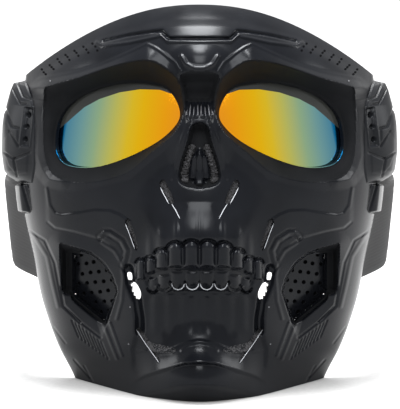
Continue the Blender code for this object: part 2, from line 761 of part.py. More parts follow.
def main():
    for obj in list(bpy.data.objects):
        bpy.data.objects.remove(obj)
    for name in (COLLECTION, CUTTERS):
        new_collection(name)
    grid = shell_grid()
    shell = make_shell(grid)
    pieces = [shell, make_lens(), *make_filters(grid), *make_grilles()]
    pieces += [*make_side_pieces(), make_strap(), *make_anchors()]
    for piece in pieces:
        piece.data.shade_smooth()
        piece.data.set_sharp_from_angle(angle=math.radians(40))
    frame = lean_back(pieces + list(bpy.data.collections[CUTTERS].objects))
    cut_flat(shell)
    centre_on_floor(frame, pieces)


main()
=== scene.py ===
"""Looks for the skull face mask: a finely worked face, mirror lens, perforated cheeks and strap.

Depth, height and x are those of the part's own sight frame, which leans LEAN back from upright.
Fine outlines are drawn on a front view of the left half, whose unit is GRID: across runs from 0 at
the left to MIDDLE on the mirror line, and down from the top.
"""

import math

import bpy
import numpy as np
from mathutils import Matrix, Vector


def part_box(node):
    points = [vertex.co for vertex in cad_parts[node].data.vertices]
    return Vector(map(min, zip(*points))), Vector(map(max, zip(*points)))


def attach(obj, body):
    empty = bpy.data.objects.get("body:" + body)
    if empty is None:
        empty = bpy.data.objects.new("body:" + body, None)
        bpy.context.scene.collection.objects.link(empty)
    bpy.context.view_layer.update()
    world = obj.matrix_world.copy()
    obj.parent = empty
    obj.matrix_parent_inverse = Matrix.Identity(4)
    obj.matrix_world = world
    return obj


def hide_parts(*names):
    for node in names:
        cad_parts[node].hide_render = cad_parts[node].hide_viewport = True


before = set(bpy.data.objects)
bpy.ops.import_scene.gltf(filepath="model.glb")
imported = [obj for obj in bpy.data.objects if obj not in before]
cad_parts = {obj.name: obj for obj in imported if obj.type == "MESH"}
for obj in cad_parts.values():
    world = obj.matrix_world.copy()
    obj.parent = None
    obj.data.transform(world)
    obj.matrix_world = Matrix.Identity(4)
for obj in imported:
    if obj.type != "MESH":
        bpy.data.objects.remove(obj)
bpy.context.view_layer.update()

# The part's own sizes and tables
MASK_HEIGHT = 0.238
HALF_WIDTH = 0.108
SHELL_DEPTH = 0.100
WALL = 0.0026
FIT_GAP = 0.0004
LEAN = math.radians(9.0)
LENS_RADIUS = 0.125
LENS_THICKNESS = 0.0020
LENS_BOW_RADIUS = 0.220
LENS_TILT = math.tan(math.radians(4.0))
STRAP_WIDTH = 0.050
STRAP_THICKNESS = 0.0020
STRAP_LEVEL = 0.062
STRAP_BULGE = 0.1160
STRAP_BULGE_BACK = 0.150
STRAP_BACK = 0.212
STRAP_INSET = WALL + 2 * FIT_GAP
CLIP_THICKNESS = 0.0042
GRILLE_THICKNESS = 0.0012
RIM_DROP = 0.174
RIM_POWER = 2.18
CROWN_SETBACK = 0.24
CROWN_REACH = 0.135
WINDOW_DEPTH = 0.12
LENS_REST = -0.045
LENS_MIDDLE = 0.70

LEVEL_COLUMNS = ("height", "half_width", "front", "rear", "nose_handle", "side_handle")
LEVELS = (
    (-0.025, 0.657, 0.08, 0.90, 0.34, 0.04),
    (0.059, 0.694, 0.02, 0.91, 0.36, 0.06),
    (0.134, 0.778, 0.00, 0.90, 0.40, 0.20),
    (0.256, 0.875, -0.04, 0.88, 0.46, 0.38),
    (0.370, 0.926, -0.09, 0.84, 0.50, 0.50),
    (0.492, 0.981, -0.16, 0.80, 0.55, 0.55),
    (0.630, 1.000, -0.21, 0.77, 0.56, 0.58),
    (0.735, 0.991, -0.25, 0.75, 0.56, 0.58),
    (0.840, 0.963, -0.28, 0.73, 0.56, 0.56),
    (1.008, 0.898, -0.29, 0.70, 0.56, 0.56),
)
# Broad swells: x, height, x reach, height reach, rise towards the viewer
SWELLS = {
    "muzzle": (0.0, 0.42, 0.43, 0.20, 0.09),
    "chin": (0.0, 0.09, 0.37, 0.12, 0.07),
    "cheek_hollow": (0.57, 0.30, 0.26, 0.22, -0.06),
    "nose_bone": (0.0, 0.66, 0.20, 0.11, 0.08),
    "glabella": (0.0, 0.84, 0.19, 0.07, 0.05),
}
SOCKET_RIM = (
    (0.853, 0.791), (0.834, 0.795), (0.664, 0.816), (0.442, 0.849), (0.286, 0.859), (0.192, 0.839),
    (0.114, 0.806), (0.086, 0.751), (0.131, 0.685), (0.264, 0.630), (0.408, 0.579),
    (0.608, 0.557), (0.775, 0.567), (0.848, 0.612), (0.862, 0.705), (0.858, 0.774),
)
EYE_HOLE = (
    (0.797, 0.645), (0.775, 0.715), (0.692, 0.761), (0.553, 0.791), (0.386, 0.804),
    (0.219, 0.796), (0.147, 0.773), (0.108, 0.730), (0.136, 0.695), (0.247, 0.652),
    (0.442, 0.610), (0.608, 0.592), (0.747, 0.602),
)
WINDOW_RIM = (
    (0.775, 0.400), (0.675, 0.390), (0.597, 0.378), (0.531, 0.355), (0.481, 0.322),
    (0.453, 0.282), (0.481, 0.242), (0.514, 0.196), (0.542, 0.161), (0.664, 0.202),
    (0.758, 0.242), (0.775, 0.282),
)
WINDOW = (
    (0.708, 0.378), (0.608, 0.372), (0.540, 0.350), (0.492, 0.318), (0.464, 0.282),
    (0.492, 0.244), (0.528, 0.204), (0.692, 0.264), (0.708, 0.282),
)
LENS_EDGE = (
    (0.0, 0.700), (0.100, 0.690), (0.150, 0.660), (0.235, 0.620), (0.42, 0.578), (0.61, 0.562),
    (0.77, 0.575), (0.828, 0.64), (0.81, 0.725), (0.715, 0.785), (0.56, 0.818), (0.386, 0.830),
    (0.20, 0.824), (0.09, 0.800), (0.0, 0.795),
)

# The front view's drawing grid
GRID = 0.0006
MIDDLE = 199.5
GROUND = 402.0
PICTURE_WIDTH = 400

# Steps of the meshes
COLUMNS = 208
ROWS = 330
SPLIT_ROW = 176
INSIDE_STEP = 3
LENS_COLUMNS = 240
LENS_ROWS = 60
LENS_SPARE = 0.001
EDGE_STEPS = (0.0, 0.06, 1.0)
STRAP_ROWS = 25

SIDES = (("left", -1), ("right", 1))
# From the sight frame to the CAD's place: how far back
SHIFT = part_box("head_strap")[1][1] - STRAP_BACK


def glide(places, values, at):
    """A smooth curve through a table's values."""
    places, values = np.array(places), np.array(values)
    slopes = np.gradient(values, places)
    i = np.clip(np.searchsorted(places, at) - 1, 0, len(places) - 2)
    step = places[i + 1] - places[i]
    u = (at - places[i]) / step
    rise = values[i + 1] - values[i]
    start, end = slopes[i] * step, slopes[i + 1] * step
    return values[i] + u * start + u**2 * (3 * rise - 2 * start - end) + u**3 * (start + end - 2 * rise)


def level_columns(height):
    table = np.array(LEVELS)
    return {
        name: glide(table[:, 0], table[:, i], height)
        for i, name in enumerate(LEVEL_COLUMNS)
        if i
    }


def skin(turn, height):
    """The bare shell: x, depth and inward direction, by turn and height share."""
    turn, height = np.broadcast_arrays(np.asarray(turn, float), np.asarray(height, float))
    side = np.where(turn < 0, -1.0, 1.0)
    t = np.clip(np.abs(turn), 0, 1)
    level = level_columns(height)
    half = level["half_width"] * HALF_WIDTH
    front, rear = level["front"] * SHELL_DEPTH, level["rear"] * SHELL_DEPTH
    nose, flank = level["nose_handle"], level["side_handle"]
    early, late, last = 3 * (1 - t) ** 2 * t, 3 * (1 - t) * t**2, t**3
    x = half * (early * nose + late + last)
    depth = front + (rear - front) * (late * (1 - flank) + last + np.maximum(np.abs(turn) - 1, 0))
    along_x = half * (3 * (1 - t) ** 2 * nose + 6 * (1 - t) * t * (1 - nose))
    along_depth = (rear - front) * (6 * (1 - t) * t * (1 - flank) + 3 * t**2 * flank)
    inward = np.stack((-side * along_depth, along_x, 0 * x), axis=-1)
    return side * x, depth, inward / np.hypot(along_x, along_depth)[..., None]


def smooth(points, steps=6):
    """A closed round curve through points."""
    p = np.array(points, float)
    before, after = np.roll(p, 1, axis=0), np.roll(p, -1, axis=0)
    beyond = np.roll(p, -2, axis=0)
    found = []
    for u in np.arange(steps) / steps:
        found.append(
            0.5 * (2 * p + (after - before) * u + (2 * before - 5 * p + 4 * after - beyond) * u**2)
            + 0.5 * (3 * p - before - 3 * after + beyond) * u**3
        )
    return np.stack(found, axis=1).reshape(-1, 2)


def from_shares(points):
    """Outline given in shares, on the drawing grid."""
    p = np.array(points) * (HALF_WIDTH, MASK_HEIGHT) / GRID
    return np.stack((MIDDLE - p[:, 0], GROUND - p[:, 1]), axis=-1)


def drawn(x, height):
    """From metres to the drawing grid."""
    return MIDDLE - np.abs(x) / GRID, GROUND - height / GRID


def undrawn(a, w):
    return (MIDDLE - a) * GRID, (GROUND - w) * GRID


def both_sides(points, middle=MIDDLE):
    """Closed outline on both sides of the mirror line, from one half's."""
    return list(points) + [(2 * middle - p, q) for p, q in points[-2:0:-1]]


def grown(outline, share):
    middle = outline.mean(axis=0)
    return middle + (outline - middle) * share


def unit(vectors):
    return vectors / (np.linalg.norm(vectors, axis=-1, keepdims=True) + 1e-12)


def nearest(a, w, polygon, closed=True):
    """Distance to a polygon's line, its nearest point, and whether each point lies inside."""
    polygon = np.array(polygon, float)
    ends = np.roll(polygon, -1, axis=0) if closed else polygon[1:]
    best = np.full(a.shape, np.inf)
    at_a, at_w = np.array(a, float), np.array(w, float)
    inside = np.zeros(a.shape, bool)
    for (pa, pw), (qa, qw) in zip(polygon, ends):
        run, fall = qa - pa, qw - pw
        share = np.clip(((a - pa) * run + (w - pw) * fall) / (run**2 + fall**2 + 1e-12), 0, 1)
        na, nw = pa + share * run, pw + share * fall
        far = np.hypot(a - na, w - nw)
        closer = far < best
        best = np.where(closer, far, best)
        at_a, at_w = np.where(closer, na, at_a), np.where(closer, nw, at_w)
        crosses = (pw > w) != (qw > w)
        level = np.divide(w - pw, fall, out=np.zeros(a.shape), where=crosses)
        inside ^= crosses & (a < pa + level * run)
    return best, at_a, at_w, inside


def away(a, w, line):
    """Distance to an open line."""
    return nearest(a, w, line, closed=False)[0]


def within(a, w, outline):
    """Distance to a closed outline, negative outside it."""
    near, _, _, inside = nearest(a, w, outline)
    return np.where(inside, near, -near)


def ease(value):
    value = np.clip(value, 0, 1)
    return value * value * (3 - 2 * value)


def fade(distance, width):
    return np.clip(1 - (distance / width) ** 2, 0, 1) ** 2

def raised(a, w, outline, bevel):
    """1 on a plate, 0 off it, with a soft bevel this wide to each side of its outline."""
    return ease(within(a, w, outline) / bevel * 0.5 + 0.5)


def lens_depth(x, height):
    """Depth of the lens's front face."""
    up = height - LENS_MIDDLE * MASK_HEIGHT
    across = LENS_RADIUS - np.sqrt(LENS_RADIUS**2 - np.minimum(np.abs(x), 0.95 * LENS_RADIUS) ** 2)
    return LENS_REST * SHELL_DEPTH + across + up**2 / (2 * LENS_BOW_RADIUS) + LENS_TILT * up


def lens_seat(x, height):
    facing = np.sqrt(1 - np.minimum(np.abs(x) / LENS_RADIUS, 0.95) ** 2)
    return lens_depth(x, height) - (WALL + FIT_GAP) / facing


def swollen(x, height, depth):
    side = np.abs(x)
    for at_x, at_height, wide, tall, rise in SWELLS.values():
        far = np.hypot(
            (side - at_x * HALF_WIDTH) / (wide * HALF_WIDTH),
            (height - at_height * MASK_HEIGHT) / (tall * MASK_HEIGHT),
        )
        depth = depth - rise * SHELL_DEPTH * fade(far, 1.0)
    return depth


# Fine drawing: lines and outlines of the left half, in grid units
BROW_TOP = (
    (28, 84), (40, 78), (60, 75), (80, 71), (100, 65), (120, 57), (140, 48), (147, 44.5),
    (155, 48), (165, 55), (175, 63), (182, 74), (185, 85),
)
BROW_CREST = (
    (28, 86), (46, 88), (60, 83), (80, 78), (100, 71), (120, 65), (140, 62), (150, 62),
    (160, 66), (170, 72), (178, 80), (184, 88),
)
SOCKET_FRAME = ((46, 88), (42, 110), (39, 135), (38, 155), (42, 168), (50, 179), (62, 182))
LOWER_LID = ((50, 179), (75, 183), (100, 178), (128, 171), (140, 160), (150, 152), (165, 140), (178, 126))
CROWN_LEDGE = ((199.5, 24), (162, 25), (130, 33), (100, 42), (70, 57), (45, 74), (30, 90), (199.5, 90))
# Where the lens's mirror coat ends below its dark top band, which is a painted reflection of the brow, from
# the nose outwards
LENS_BAND = (
    (199.5, 94), (178, 96), (173, 94.5), (160, 90), (140, 89.5), (120, 92.5), (100, 99), (85, 107),
    (75, 115.5), (66, 123.5), (57, 131), (40, 150),
)
NOSE_RIM = (
    (199.5, 124), (193, 127), (189.5, 138), (186, 150), (182, 162), (180, 172), (181, 180),
    (186, 184.5), (193, 186), (199.5, 187),
)
CHEEK_LINE = (
    (47, 188), (50, 205), (55, 213), (62, 215), (80, 213), (95, 210.5), (110, 211), (120, 215), (130, 222),
)
CHEEK_LOWER = ((48, 222), (55, 228), (75, 232), (100, 239), (108, 244))
PANEL = ((101, 236), (105, 232), (110, 232), (122, 240), (127, 250), (124, 264), (129, 270))
MAXILLA = ((199.5, 203), (186, 203), (181, 219), (182, 240), (199.5, 240))
# Raised and sunken lines: rise in metres, half width and points on the drawing grid
CREASES = {
    "forehead_groove": (-0.0022, 2.0, (
        (104, 41.5), (130, 36), (150, 33), (162, 32), (169, 39.5), (199.5, 39.5),
    )),
    "forehead_lip": (0.0013, 2.2, (
        (97, 43), (103, 46.5), (130, 43.2), (157, 37.5), (161, 36), (168, 42.5), (199.5, 42.5),
    )),
    "glabella_lip": (0.0012, 3.2, ((181, 57), (186, 65), (194, 69), (199.5, 69.3))),
    "eye_corner": (0.0016, 2.4, ((180, 104), (185, 112), (189, 122))),
    "nose_side": (0.0007, 3.0, ((188, 122), (182, 140), (176, 160), (172, 178))),
    "cheek_line": (0.0004, 2.6, CHEEK_LINE),
    "cheek_lower": (-0.0007, 2.2, CHEEK_LOWER),
    "panel": (0.0008, 2.4, PANEL),
    "panel_inner": (0.0008, 2.6, ((103, 242), (115, 250), (121, 260), (124, 275), (122, 300), (117, 318))),
    "jaw_rib": (0.0010, 2.4, ((104, 325), (117, 358))),
    "jaw_rib_inner": (0.0010, 2.4, ((110, 322), (122, 355))),
    "side_groove": (-0.0009, 2.2, ((26, 228), (45, 240), (55, 262), (60, 290), (63, 306), (80, 322))),
    "side_ridge": (0.0008, 3.0, ((20, 222), (34, 236), (47, 256), (53, 285), (58, 306))),
    "jaw_crease": (-0.0006, 1.8, ((53, 327), (65, 343))),
    "low_crease": (-0.0006, 1.8, ((74, 360), (90, 378))),
    "low_crease_inner": (-0.0006, 1.8, ((84, 366), (92, 381))),
    "mouth_channel": (-0.0045, 6.5, ((129, 268), (131, 283), (138, 300), (140, 318), (140, 330))),
    "chin_boss": (0.0005, 2.6, ((182, 349), (186, 345.5), (192, 342.5), (199.5, 341))),
}
# Raised and sunken plates: rise in metres, bevel and outline
PLATES = {
    "crown_ledge": (0.0012, 5.0, both_sides(CROWN_LEDGE)),
    "cheekbone": (0.0009, 3.0, CHEEK_LINE + ((134, 232), (108, 244)) + CHEEK_LOWER[::-1]),
    "gums": (-0.0026, 2.5, both_sides((
        (199.5, 268.5), (168, 268.5), (150, 272), (146, 279), (150, 291), (172, 293), (199.5, 292),
    ))),
    "jaw_front": (-0.0024, 5.0, both_sides((
        (199.5, 291), (150, 291), (143, 300), (140, 328), (150, 347), (160, 350), (175, 348.5),
        (185, 344.5), (199.5, 340),
    ))),
}
CHIN_BLOCK = both_sides((
    (199.5, 340.5), (185, 345), (175, 349), (160, 350.5), (150, 348), (138, 331), (133, 348),
    (134, 366), (143, 384), (150, 384), (165, 376), (185, 367), (199.5, 362),
))
# Teeth: middle, half width, top, bottom
UPPER_TEETH = (
    (191.3, 8.2, 240, 266), (175.2, 7.9, 242, 266), (161.2, 6.3, 248, 268), (150.0, 5.0, 256, 273),
    (140.8, 4.4, 258, 279),
)
LOWER_TEETH = (
    (192.0, 7.5, 270.5, 286.5), (177.6, 7.2, 270.5, 287), (164.2, 6.2, 274, 289), (153.0, 5.0, 277, 291),
)
SLOTS = {
    "nose_slot": ((160, 182), (165, 180), (174, 199), (173, 203), (169, 202), (161, 188)),
    "cheek_slot": ((126, 220), (130, 219), (138, 243), (138, 248), (135, 248), (126, 224)),
    "jaw_slot": ((137, 328), (141, 328), (154, 346), (160, 359), (159, 362), (155, 357), (138, 333)),
    "upper_gap": ((127.8, 272), (131.8, 272), (132.5, 278), (131, 279.5), (128.8, 279)),
    "lower_gap": ((130.5, 283), (136, 282), (141, 291), (140, 298), (135.5, 297)),
}
CHIN_FOAM = ((150, 341.5), (158, 343.5), (171, 346.5), (172, 350.5), (160, 350.5), (151, 347.5))
SLOT_EDGES = (
    ((160.7, 187), (163, 192), (169.2, 203.4)),
    ((171.8, 203.2), (176, 210), (180.2, 218.4)),
    ((125.8, 223), (129, 231), (135.2, 248.2)),
    ((136.5, 328.5), (146, 343), (159.8, 362)),
)
TOOTH_ARC = ((-1, -0.3), (-0.9, 0.3), (-0.55, 0.8), (0, 1), (0.55, 0.8), (0.9, 0.3), (1, -0.3))
TOOTH_EDGES = [[(middle + 6.4 * x, 283.5 + 5.2 * y) for x, y in TOOTH_ARC] for middle in (192.4, 178.2)]
NOSE_RIBS = (
    ((197.8, 105), (198.0, 117)), ((194.2, 107), (193.6, 116)), ((190.8, 105), (189.4, 117)),
    ((187.6, 110), (185.4, 116)),
)
# The dark hollow between the eyes
HOLLOW = ((201, 73), (190, 72.5), (183, 75), (180, 82), (181, 92), (184, 99), (190, 101.5), (201, 102))
SEPTUM = ((198.4, 148), (190.5, 158), (188.5, 176), (193, 183.5), (201, 184), (201, 148))
# The dark walls of the cheek window, apart from its lit lower edge
WINDOW_WALLS = (
    (61, 243), (80, 249), (72, 291), (80, 296), (106, 318), (104, 323.5), (72, 295.5), (64, 291),
)
STUDS = ((51, 81), (130.6, 306), (129, 343))
NOSE_FOAM = ((193, 144), (190, 153), (187, 163), (184.6, 172), (184.6, 179), (188, 182))
VENTS = (
    ((42, 69), (44, 72), (46, 74)), ((50, 65), (52, 67), (54, 69)), ((58, 59), (60, 62), (62, 64)),
    ((66, 55), (68, 57), (70, 60)), ((75, 51), (77, 53), (79, 56)), ((84, 47), (87, 50), (89, 53)),
    ((93, 44), (96, 47), (98, 51)),
)
GRILLE_HOLES = (
    (74, 258), (80.5, 256), (77, 265), (85.7, 264.5), (93, 263), (100.6, 262), (81.3, 275), (89.7, 273.5),
    (98, 272.5), (106, 271), (77.3, 284.5), (86, 284), (94.3, 283), (102.7, 282), (111, 280.5),
    (82.3, 294.5), (90.3, 293.5), (99, 292.5), (107, 291), (94.3, 303), (103, 302), (111, 301.5),
    (99.5, 312.5), (108, 311),
)
GRILLE_SHIFT = (2.6, 0)
GRILLE_HOLE_RADIUS = 2.1

TEMPLE_SPAN = (0.552, 0.816)
TEMPLE_SEAM = ((0.553, 33.0), (0.60, 36.5), (0.69, 36.5), (0.75, 33.5), (0.815, 24.0))
# Height share, thickness in millimetres
TEMPLE_RISE = (
    (0.552, -0.5), (0.558, 3.0), (0.572, 7.9), (0.585, 10.0), (0.600, 10.5), (0.630, 11.3), (0.700, 11.3),
    (0.735, 10.3), (0.790, 8.2), (0.8067, 6.9), (0.8117, 1.0), (0.816, -0.5),
)
TEMPLE_SLOT = ((26, 107), (33, 108), (29, 146), (21, 145))
TEMPLE_HOLES = ((27.5, 114), (25.8, 126), (24.3, 139))
TEMPLE_LINES = (
    ((12, 88), (20, 103), (26, 103.5)), ((5, 108), (12, 126), (19, 128)), ((9, 130), (19, 146)),
    ((4, 152), (13, 158), (20, 156), (30, 152)), ((17, 82), (23, 96), (31, 99)), ((14, 158), (17, 176)),
)
TEMPLE_PLATES = (
    ((13, 88), (20, 102), (26, 102.5), (33, 98), (31, 86), (18, 83)),
    ((3, 110), (11, 127), (18, 129), (18, 144), (9, 131), (2, 140)),
    ((5, 154), (13, 160), (20, 158), (28, 154), (27, 172), (17, 174), (9, 165)),
)
CLIP_SPAN = (0.474, 0.556)
CLIP_LINES = (((23, 183), (33, 180)), ((22, 184), (30, 212)), ((29, 184), (37, 206)))


def steps_of(a, w):
    """Every fine form of the face: metres of rise towards the viewer, on the drawing grid."""
    rise = sum(height * fade(away(a, w, line), width) for height, width, line in CREASES.values())
    rise += sum(height * raised(a, w, outline, bevel) for height, bevel, outline in PLATES.values())
    return rise + brow(a, w) + nose(a, w) + upper_jaw(a, w) + lower_jaw(a, w) + chin(a, w)


def brow(a, w):
    """A bevel that stands further out towards its crest, and the sockets' frames."""
    in_band = nearest(a, w, BROW_TOP + BROW_CREST[::-1])[3]
    in_socket = nearest(a, w, smooth(from_shares(SOCKET_RIM)))[3]
    to_top, to_crest = away(a, w, BROW_TOP), away(a, w, BROW_CREST)
    sweep = ease((a - 26) / 22) * (1 - 0.55 * ease((a - 144) / 22))
    rise = np.where(in_band, 0.0044 * sweep * to_top / (to_top + to_crest + 1e-6), 0)
    rise += 0.0007 * fade(to_top, 1.9) * ease((a - 30) / 14)
    crest = np.array(BROW_CREST)
    below = ~in_band & (w > np.interp(a, crest[:, 0], crest[:, 1])) & (a < 190)
    rise += np.where(below, 0.0044 * sweep * np.clip(1 - to_crest / 12, 0, 1) * ease((190 - a) / 6), 0)
    frame_edge = 0.0016 * np.clip(1 - away(a, w, SOCKET_FRAME) / 9, 0, 1)
    lid = 0.0010 * np.clip(1 - away(a, w, LOWER_LID) / 8, 0, 1)
    return rise + np.where(in_socket, 0, frame_edge + lid)


def nose(a, w):
    """The ribbed recess between the eyes, and the nose hole with its rim."""
    half = np.interp(w, (76, 95, 125), (25, 21, 12))
    rise = -0.0085 * ease((w - 73) / 10.0) * ease((120 - w) / 22) * ease((half - (MIDDLE - a)) / 11)
    ribs = np.abs(np.sin((a - MIDDLE) / 6.4 * math.pi)) * ease((w - 98) / 3) * ease((119 - w) / 3)
    rise += 0.0020 * ribs * ease((a - 187) / 3)
    rise += 0.0012 * fade(away(a, w, NOSE_RIM), 4) * ease((184 - w) / 24)
    return rise + nose_hollow(a, w)


def nose_hollow(a, w):
    """The nose hole: deep at the top, two smooth panels and a septum that widens downwards."""
    inside = within(a, w, smooth(both_sides(NOSE_RIM), 4))
    deep = np.interp(w, (124, 145, 187), (0.0120, 0.0095, 0.0042))
    off = MIDDLE - a
    half = np.interp(w, (140, 155, 183), (1.0, 2.2, 4.0))
    septum = ease((half + 0.8 - off) / 1.6) * ease((w - 146) / 10) * ease((186 - w) / 2)
    inner = np.interp(w, (150, 158, 180), (2.5, 9.5, 12.0))
    panel = ease((inner - off) / 2.5) * ease((w - 152) / 6) * ease((181 - w) / 4)
    groove = fade(off - half - 1.6, 1.5) * ease((w - 150) / 8)
    forms = 0.0034 * np.maximum(septum, 0.72 * panel) - 0.0008 * groove
    return np.where(inside > 0, forms, 0) - deep * ease(inside / 2.6 * 0.5 + 0.5)


def upper_jaw(a, w):
    """The flare over the teeth, a plate with a fold in its middle, root swells and the upper teeth."""
    rise = 0.0070 * ease((w - 200) / 44) * ease((318 - w) / 50) * ease((a - 138) / 34)
    rise += 0.0018 * raised(a, w, both_sides(MAXILLA), 2.5) * ease((w - 197) / 28)
    rise += 0.0012 * fade(a - 177.5, 5) * ease((w - 208) / 20) * ease((244 - w) / 8)
    rise += -0.0005 * fade(np.abs(a - 197.4), 1.4) * ease((w - 204) / 24) * ease((242 - w) / 4)
    for middle, half, top, _ in UPPER_TEETH[1:4]:
        rise += 0.0008 * fade(np.hypot((a - middle) / (half * 0.9), (w - top + 6) / 22), 1.0) * (w < top + 6)
    return rise + teeth(a, w, UPPER_TEETH, 0.0034, 1)


def lower_jaw(a, w):
    """The lower teeth, their gum edges, the jaw's ribs and a groove beside the cheek panel."""
    rise = teeth(a, w, LOWER_TEETH, 0.0018, -1)
    for middle, half, _, bottom in LOWER_TEETH[:3]:
        reach = np.hypot((a - middle) / (half + 1.2), (w - bottom + half) / (half + 1.2))
        rise += 0.0022 * fade((reach - 1.0) * half, 2.0) * ease((w - bottom + 6) / 3)
    ribs = np.cos((a - MIDDLE) / 14.5 * 2 * math.pi) * ease((w - 292) / 6) * ease((338 - w) / 16)
    rise += 0.0005 * ribs * ease((a - 140) / 10) - 0.0007 * fade(np.abs(away(a, w, PANEL) - 3.4), 1.6)
    for k in range(9):
        start = (72 + 3.7 * k, 320 + 2.7 * k)
        rise += -0.0010 * fade(away(a, w, (start, (start[0] + 7, start[1] + 17))), 1.5)
    return rise


def teeth(a, w, table, height, crown_up):
    """Domed teeth side by side: round at the gum, blunt at the bite."""
    domes, grooves = np.zeros(a.shape), np.zeros(a.shape)
    for middle, half, top, bottom in table:
        across = np.abs(a - middle) / half
        gum, bite = (top, bottom) if crown_up > 0 else (bottom, top)
        arch = np.clip((gum + crown_up * half - w) * crown_up / half, 0, None)
        blunt = np.clip((w - bite) * crown_up / 3.0 + 1, 0, None)
        reach = np.hypot(across, arch)
        domes = np.maximum(domes, height * (1 - np.clip(np.maximum(reach, blunt), 0, 1) ** 2.4))
        grooves = np.maximum(grooves, 0.0022 * fade(reach - 1.12, 0.24) * (blunt < 1.1) * (arch > 0.1))
    return domes - np.where(domes > 0.0002, 0, grooves)


def chin(a, w):
    """The chin: a sunken field, a ledge that rises to an overhang, a plane and an undercut."""
    off = np.sqrt((MIDDLE - a) ** 2 + 121) - 11
    top = np.interp(off, (0, 8, 15, 22, 35, 50, 64), (340, 341.5, 345, 348.5, 350, 350, 344))
    arch = np.interp(off, (0, 8, 15, 30, 45, 56, 66), (360.5, 361.5, 364, 369.5, 374.5, 381, 388))
    under = np.interp(off, (0, 15, 30, 45, 60, 90), (383, 384.5, 388, 392.5, 398, 412))
    share = np.clip((w - top) / (arch - top), 0, 1)
    plane = np.clip((w - arch) / (under - arch), 0, 1)
    lip = ease((arch + 2.4 - w) / 3.0)
    middle = np.exp(-((off / 17) ** 2))
    ledge = (0.0009 + 0.0034 * middle) * share**2.4 * lip
    below = (1 - lip) * (0.0014 * plane - 0.0006 - 0.0006 * middle)
    rise = ease((62 - off) / 26) * (ledge + below + 0.0006 * fade(w - top, 1.6))
    rise -= 0.0017 * raised(a, w, CHIN_BLOCK, 3) * (1 - share**1.6)
    forward = ease((w - 340) / 60) * ease((100 - off) / 60)
    back = np.clip((w - under) / 19, 0, 1.2) * ease((95 - off) / 40)
    return rise + 0.0055 * forward - 0.0095 * back


def wall_share(a, w, rim, floor):
    """0 outside a hollow's rim, 1 on its floor, and the share of the way on its wall."""
    from_rim, from_floor = within(a, w, rim), within(a, w, floor)
    between = from_rim / (from_rim + np.abs(from_floor) + 1e-6)
    return np.where(from_floor > 0, 1.0, np.where(from_rim > 0, between, 0.0))


def face_depth(x, height, bare):
    """Depth of the finished outer face."""
    a, w = drawn(x, height)
    swell = swollen(x, height, bare)
    rim = from_shares(WINDOW_RIM)
    wall = wall_share(a, w, rim, from_shares(WINDOW))
    outside = -within(a, w, rim)
    lip = 0.0022 * np.where(outside < 0, 0, np.clip(1 - outside / 12, 0, 1)) * ease((275 - w) / 30)
    low_line = away(a, w, ((61, 286), (64, 305), (80, 321), (101, 337)))
    depth = swell - steps_of(a, w) + 0.0010 * fade(low_line, 1.8) - lip
    low_side = ease((w - 288) / 8) * ease((112 - a) / 8)
    fall = ease(wall / 0.6) * (1 - low_side) + low_side * (0.42 * wall + 0.58 * ease((wall - 0.70) / 0.26))
    depth += (swell + WINDOW_DEPTH * SHELL_DEPTH - depth) * fall
    wall = wall_share(a, w, smooth(from_shares(SOCKET_RIM)), smooth(from_shares(EYE_HOLE)))
    seat = lens_seat(x, height)
    depth += (np.maximum(seat, depth) - depth) * np.clip(wall * 1.12, 0, 1)
    lens = np.array(both_sides(LENS_EDGE, 0.0)) * (HALF_WIDTH, MASK_HEIGHT)
    return np.where(nearest(x, height, smooth(lens))[3], np.minimum(depth, seat), depth)


def rim_top(turn):
    """Height share of the upper rim."""
    top_x = skin(turn, 0.84)[0] / HALF_WIDTH
    return 1 - RIM_DROP * np.abs(top_x / LEVELS[-2][1]) ** RIM_POWER


def crown(shares, high, turns):
    back = np.clip(1 - (high - shares) / CROWN_REACH, 0, 1) ** 2 * (1 - np.abs(turns) ** 3)
    return CROWN_SETBACK * SHELL_DEPTH * back


def upright(vectors):
    """Turns sight-frame directions upright."""
    x, depth, height = vectors[..., 0], vectors[..., 1], vectors[..., 2]
    y = depth * math.cos(LEAN) + height * math.sin(LEAN)
    z = height * math.cos(LEAN) - depth * math.sin(LEAN)
    return np.stack((x, y, z), axis=-1)


def to_world(points):
    return upright(points) + (0.0, SHIFT, 0.0)


def grid_normals(points, outward):
    """Vertex normals of a grid, turned to the same side as outward."""
    square = unit(np.cross(np.gradient(points, axis=0), np.gradient(points, axis=1)))
    return square * np.sign(np.median(np.sum(square * outward, axis=-1)))


def add_mesh(name, points, faces, finish, node, normals=None, slot="black_plastic", place=to_world):
    """A mesh from sight points, riding on the part's one body in place of a node."""
    points = place(points).reshape(-1, 3)
    used, number = np.unique(faces, return_inverse=True)
    mesh = bpy.data.meshes.new(name)
    mesh.from_pydata(points[used].tolist(), [], number.reshape(np.shape(faces)).tolist())
    mesh.shade_smooth()
    if normals is not None:
        mesh.normals_split_custom_set_from_vertices(upright(normals).reshape(-1, 3)[used].tolist())
    mesh.materials.append(finish)
    obj = link(name, mesh)
    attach(obj, "root")
    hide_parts(node)
    return obj


def add_pair(name, points, faces, finish, node, normals=None, slot="black_plastic"):
    """A piece on the right, where x is positive, and its mirror image on the left."""
    for side, sign in SIDES:
        flip = np.array((sign, 1.0, 1.0))
        turned = faces if sign > 0 else faces[:, ::-1]
        turned_normals = None if normals is None else normals * flip
        add_mesh(f"{name}_{side}", points * flip, turned, finish, f"{node}_{side}", turned_normals, slot)


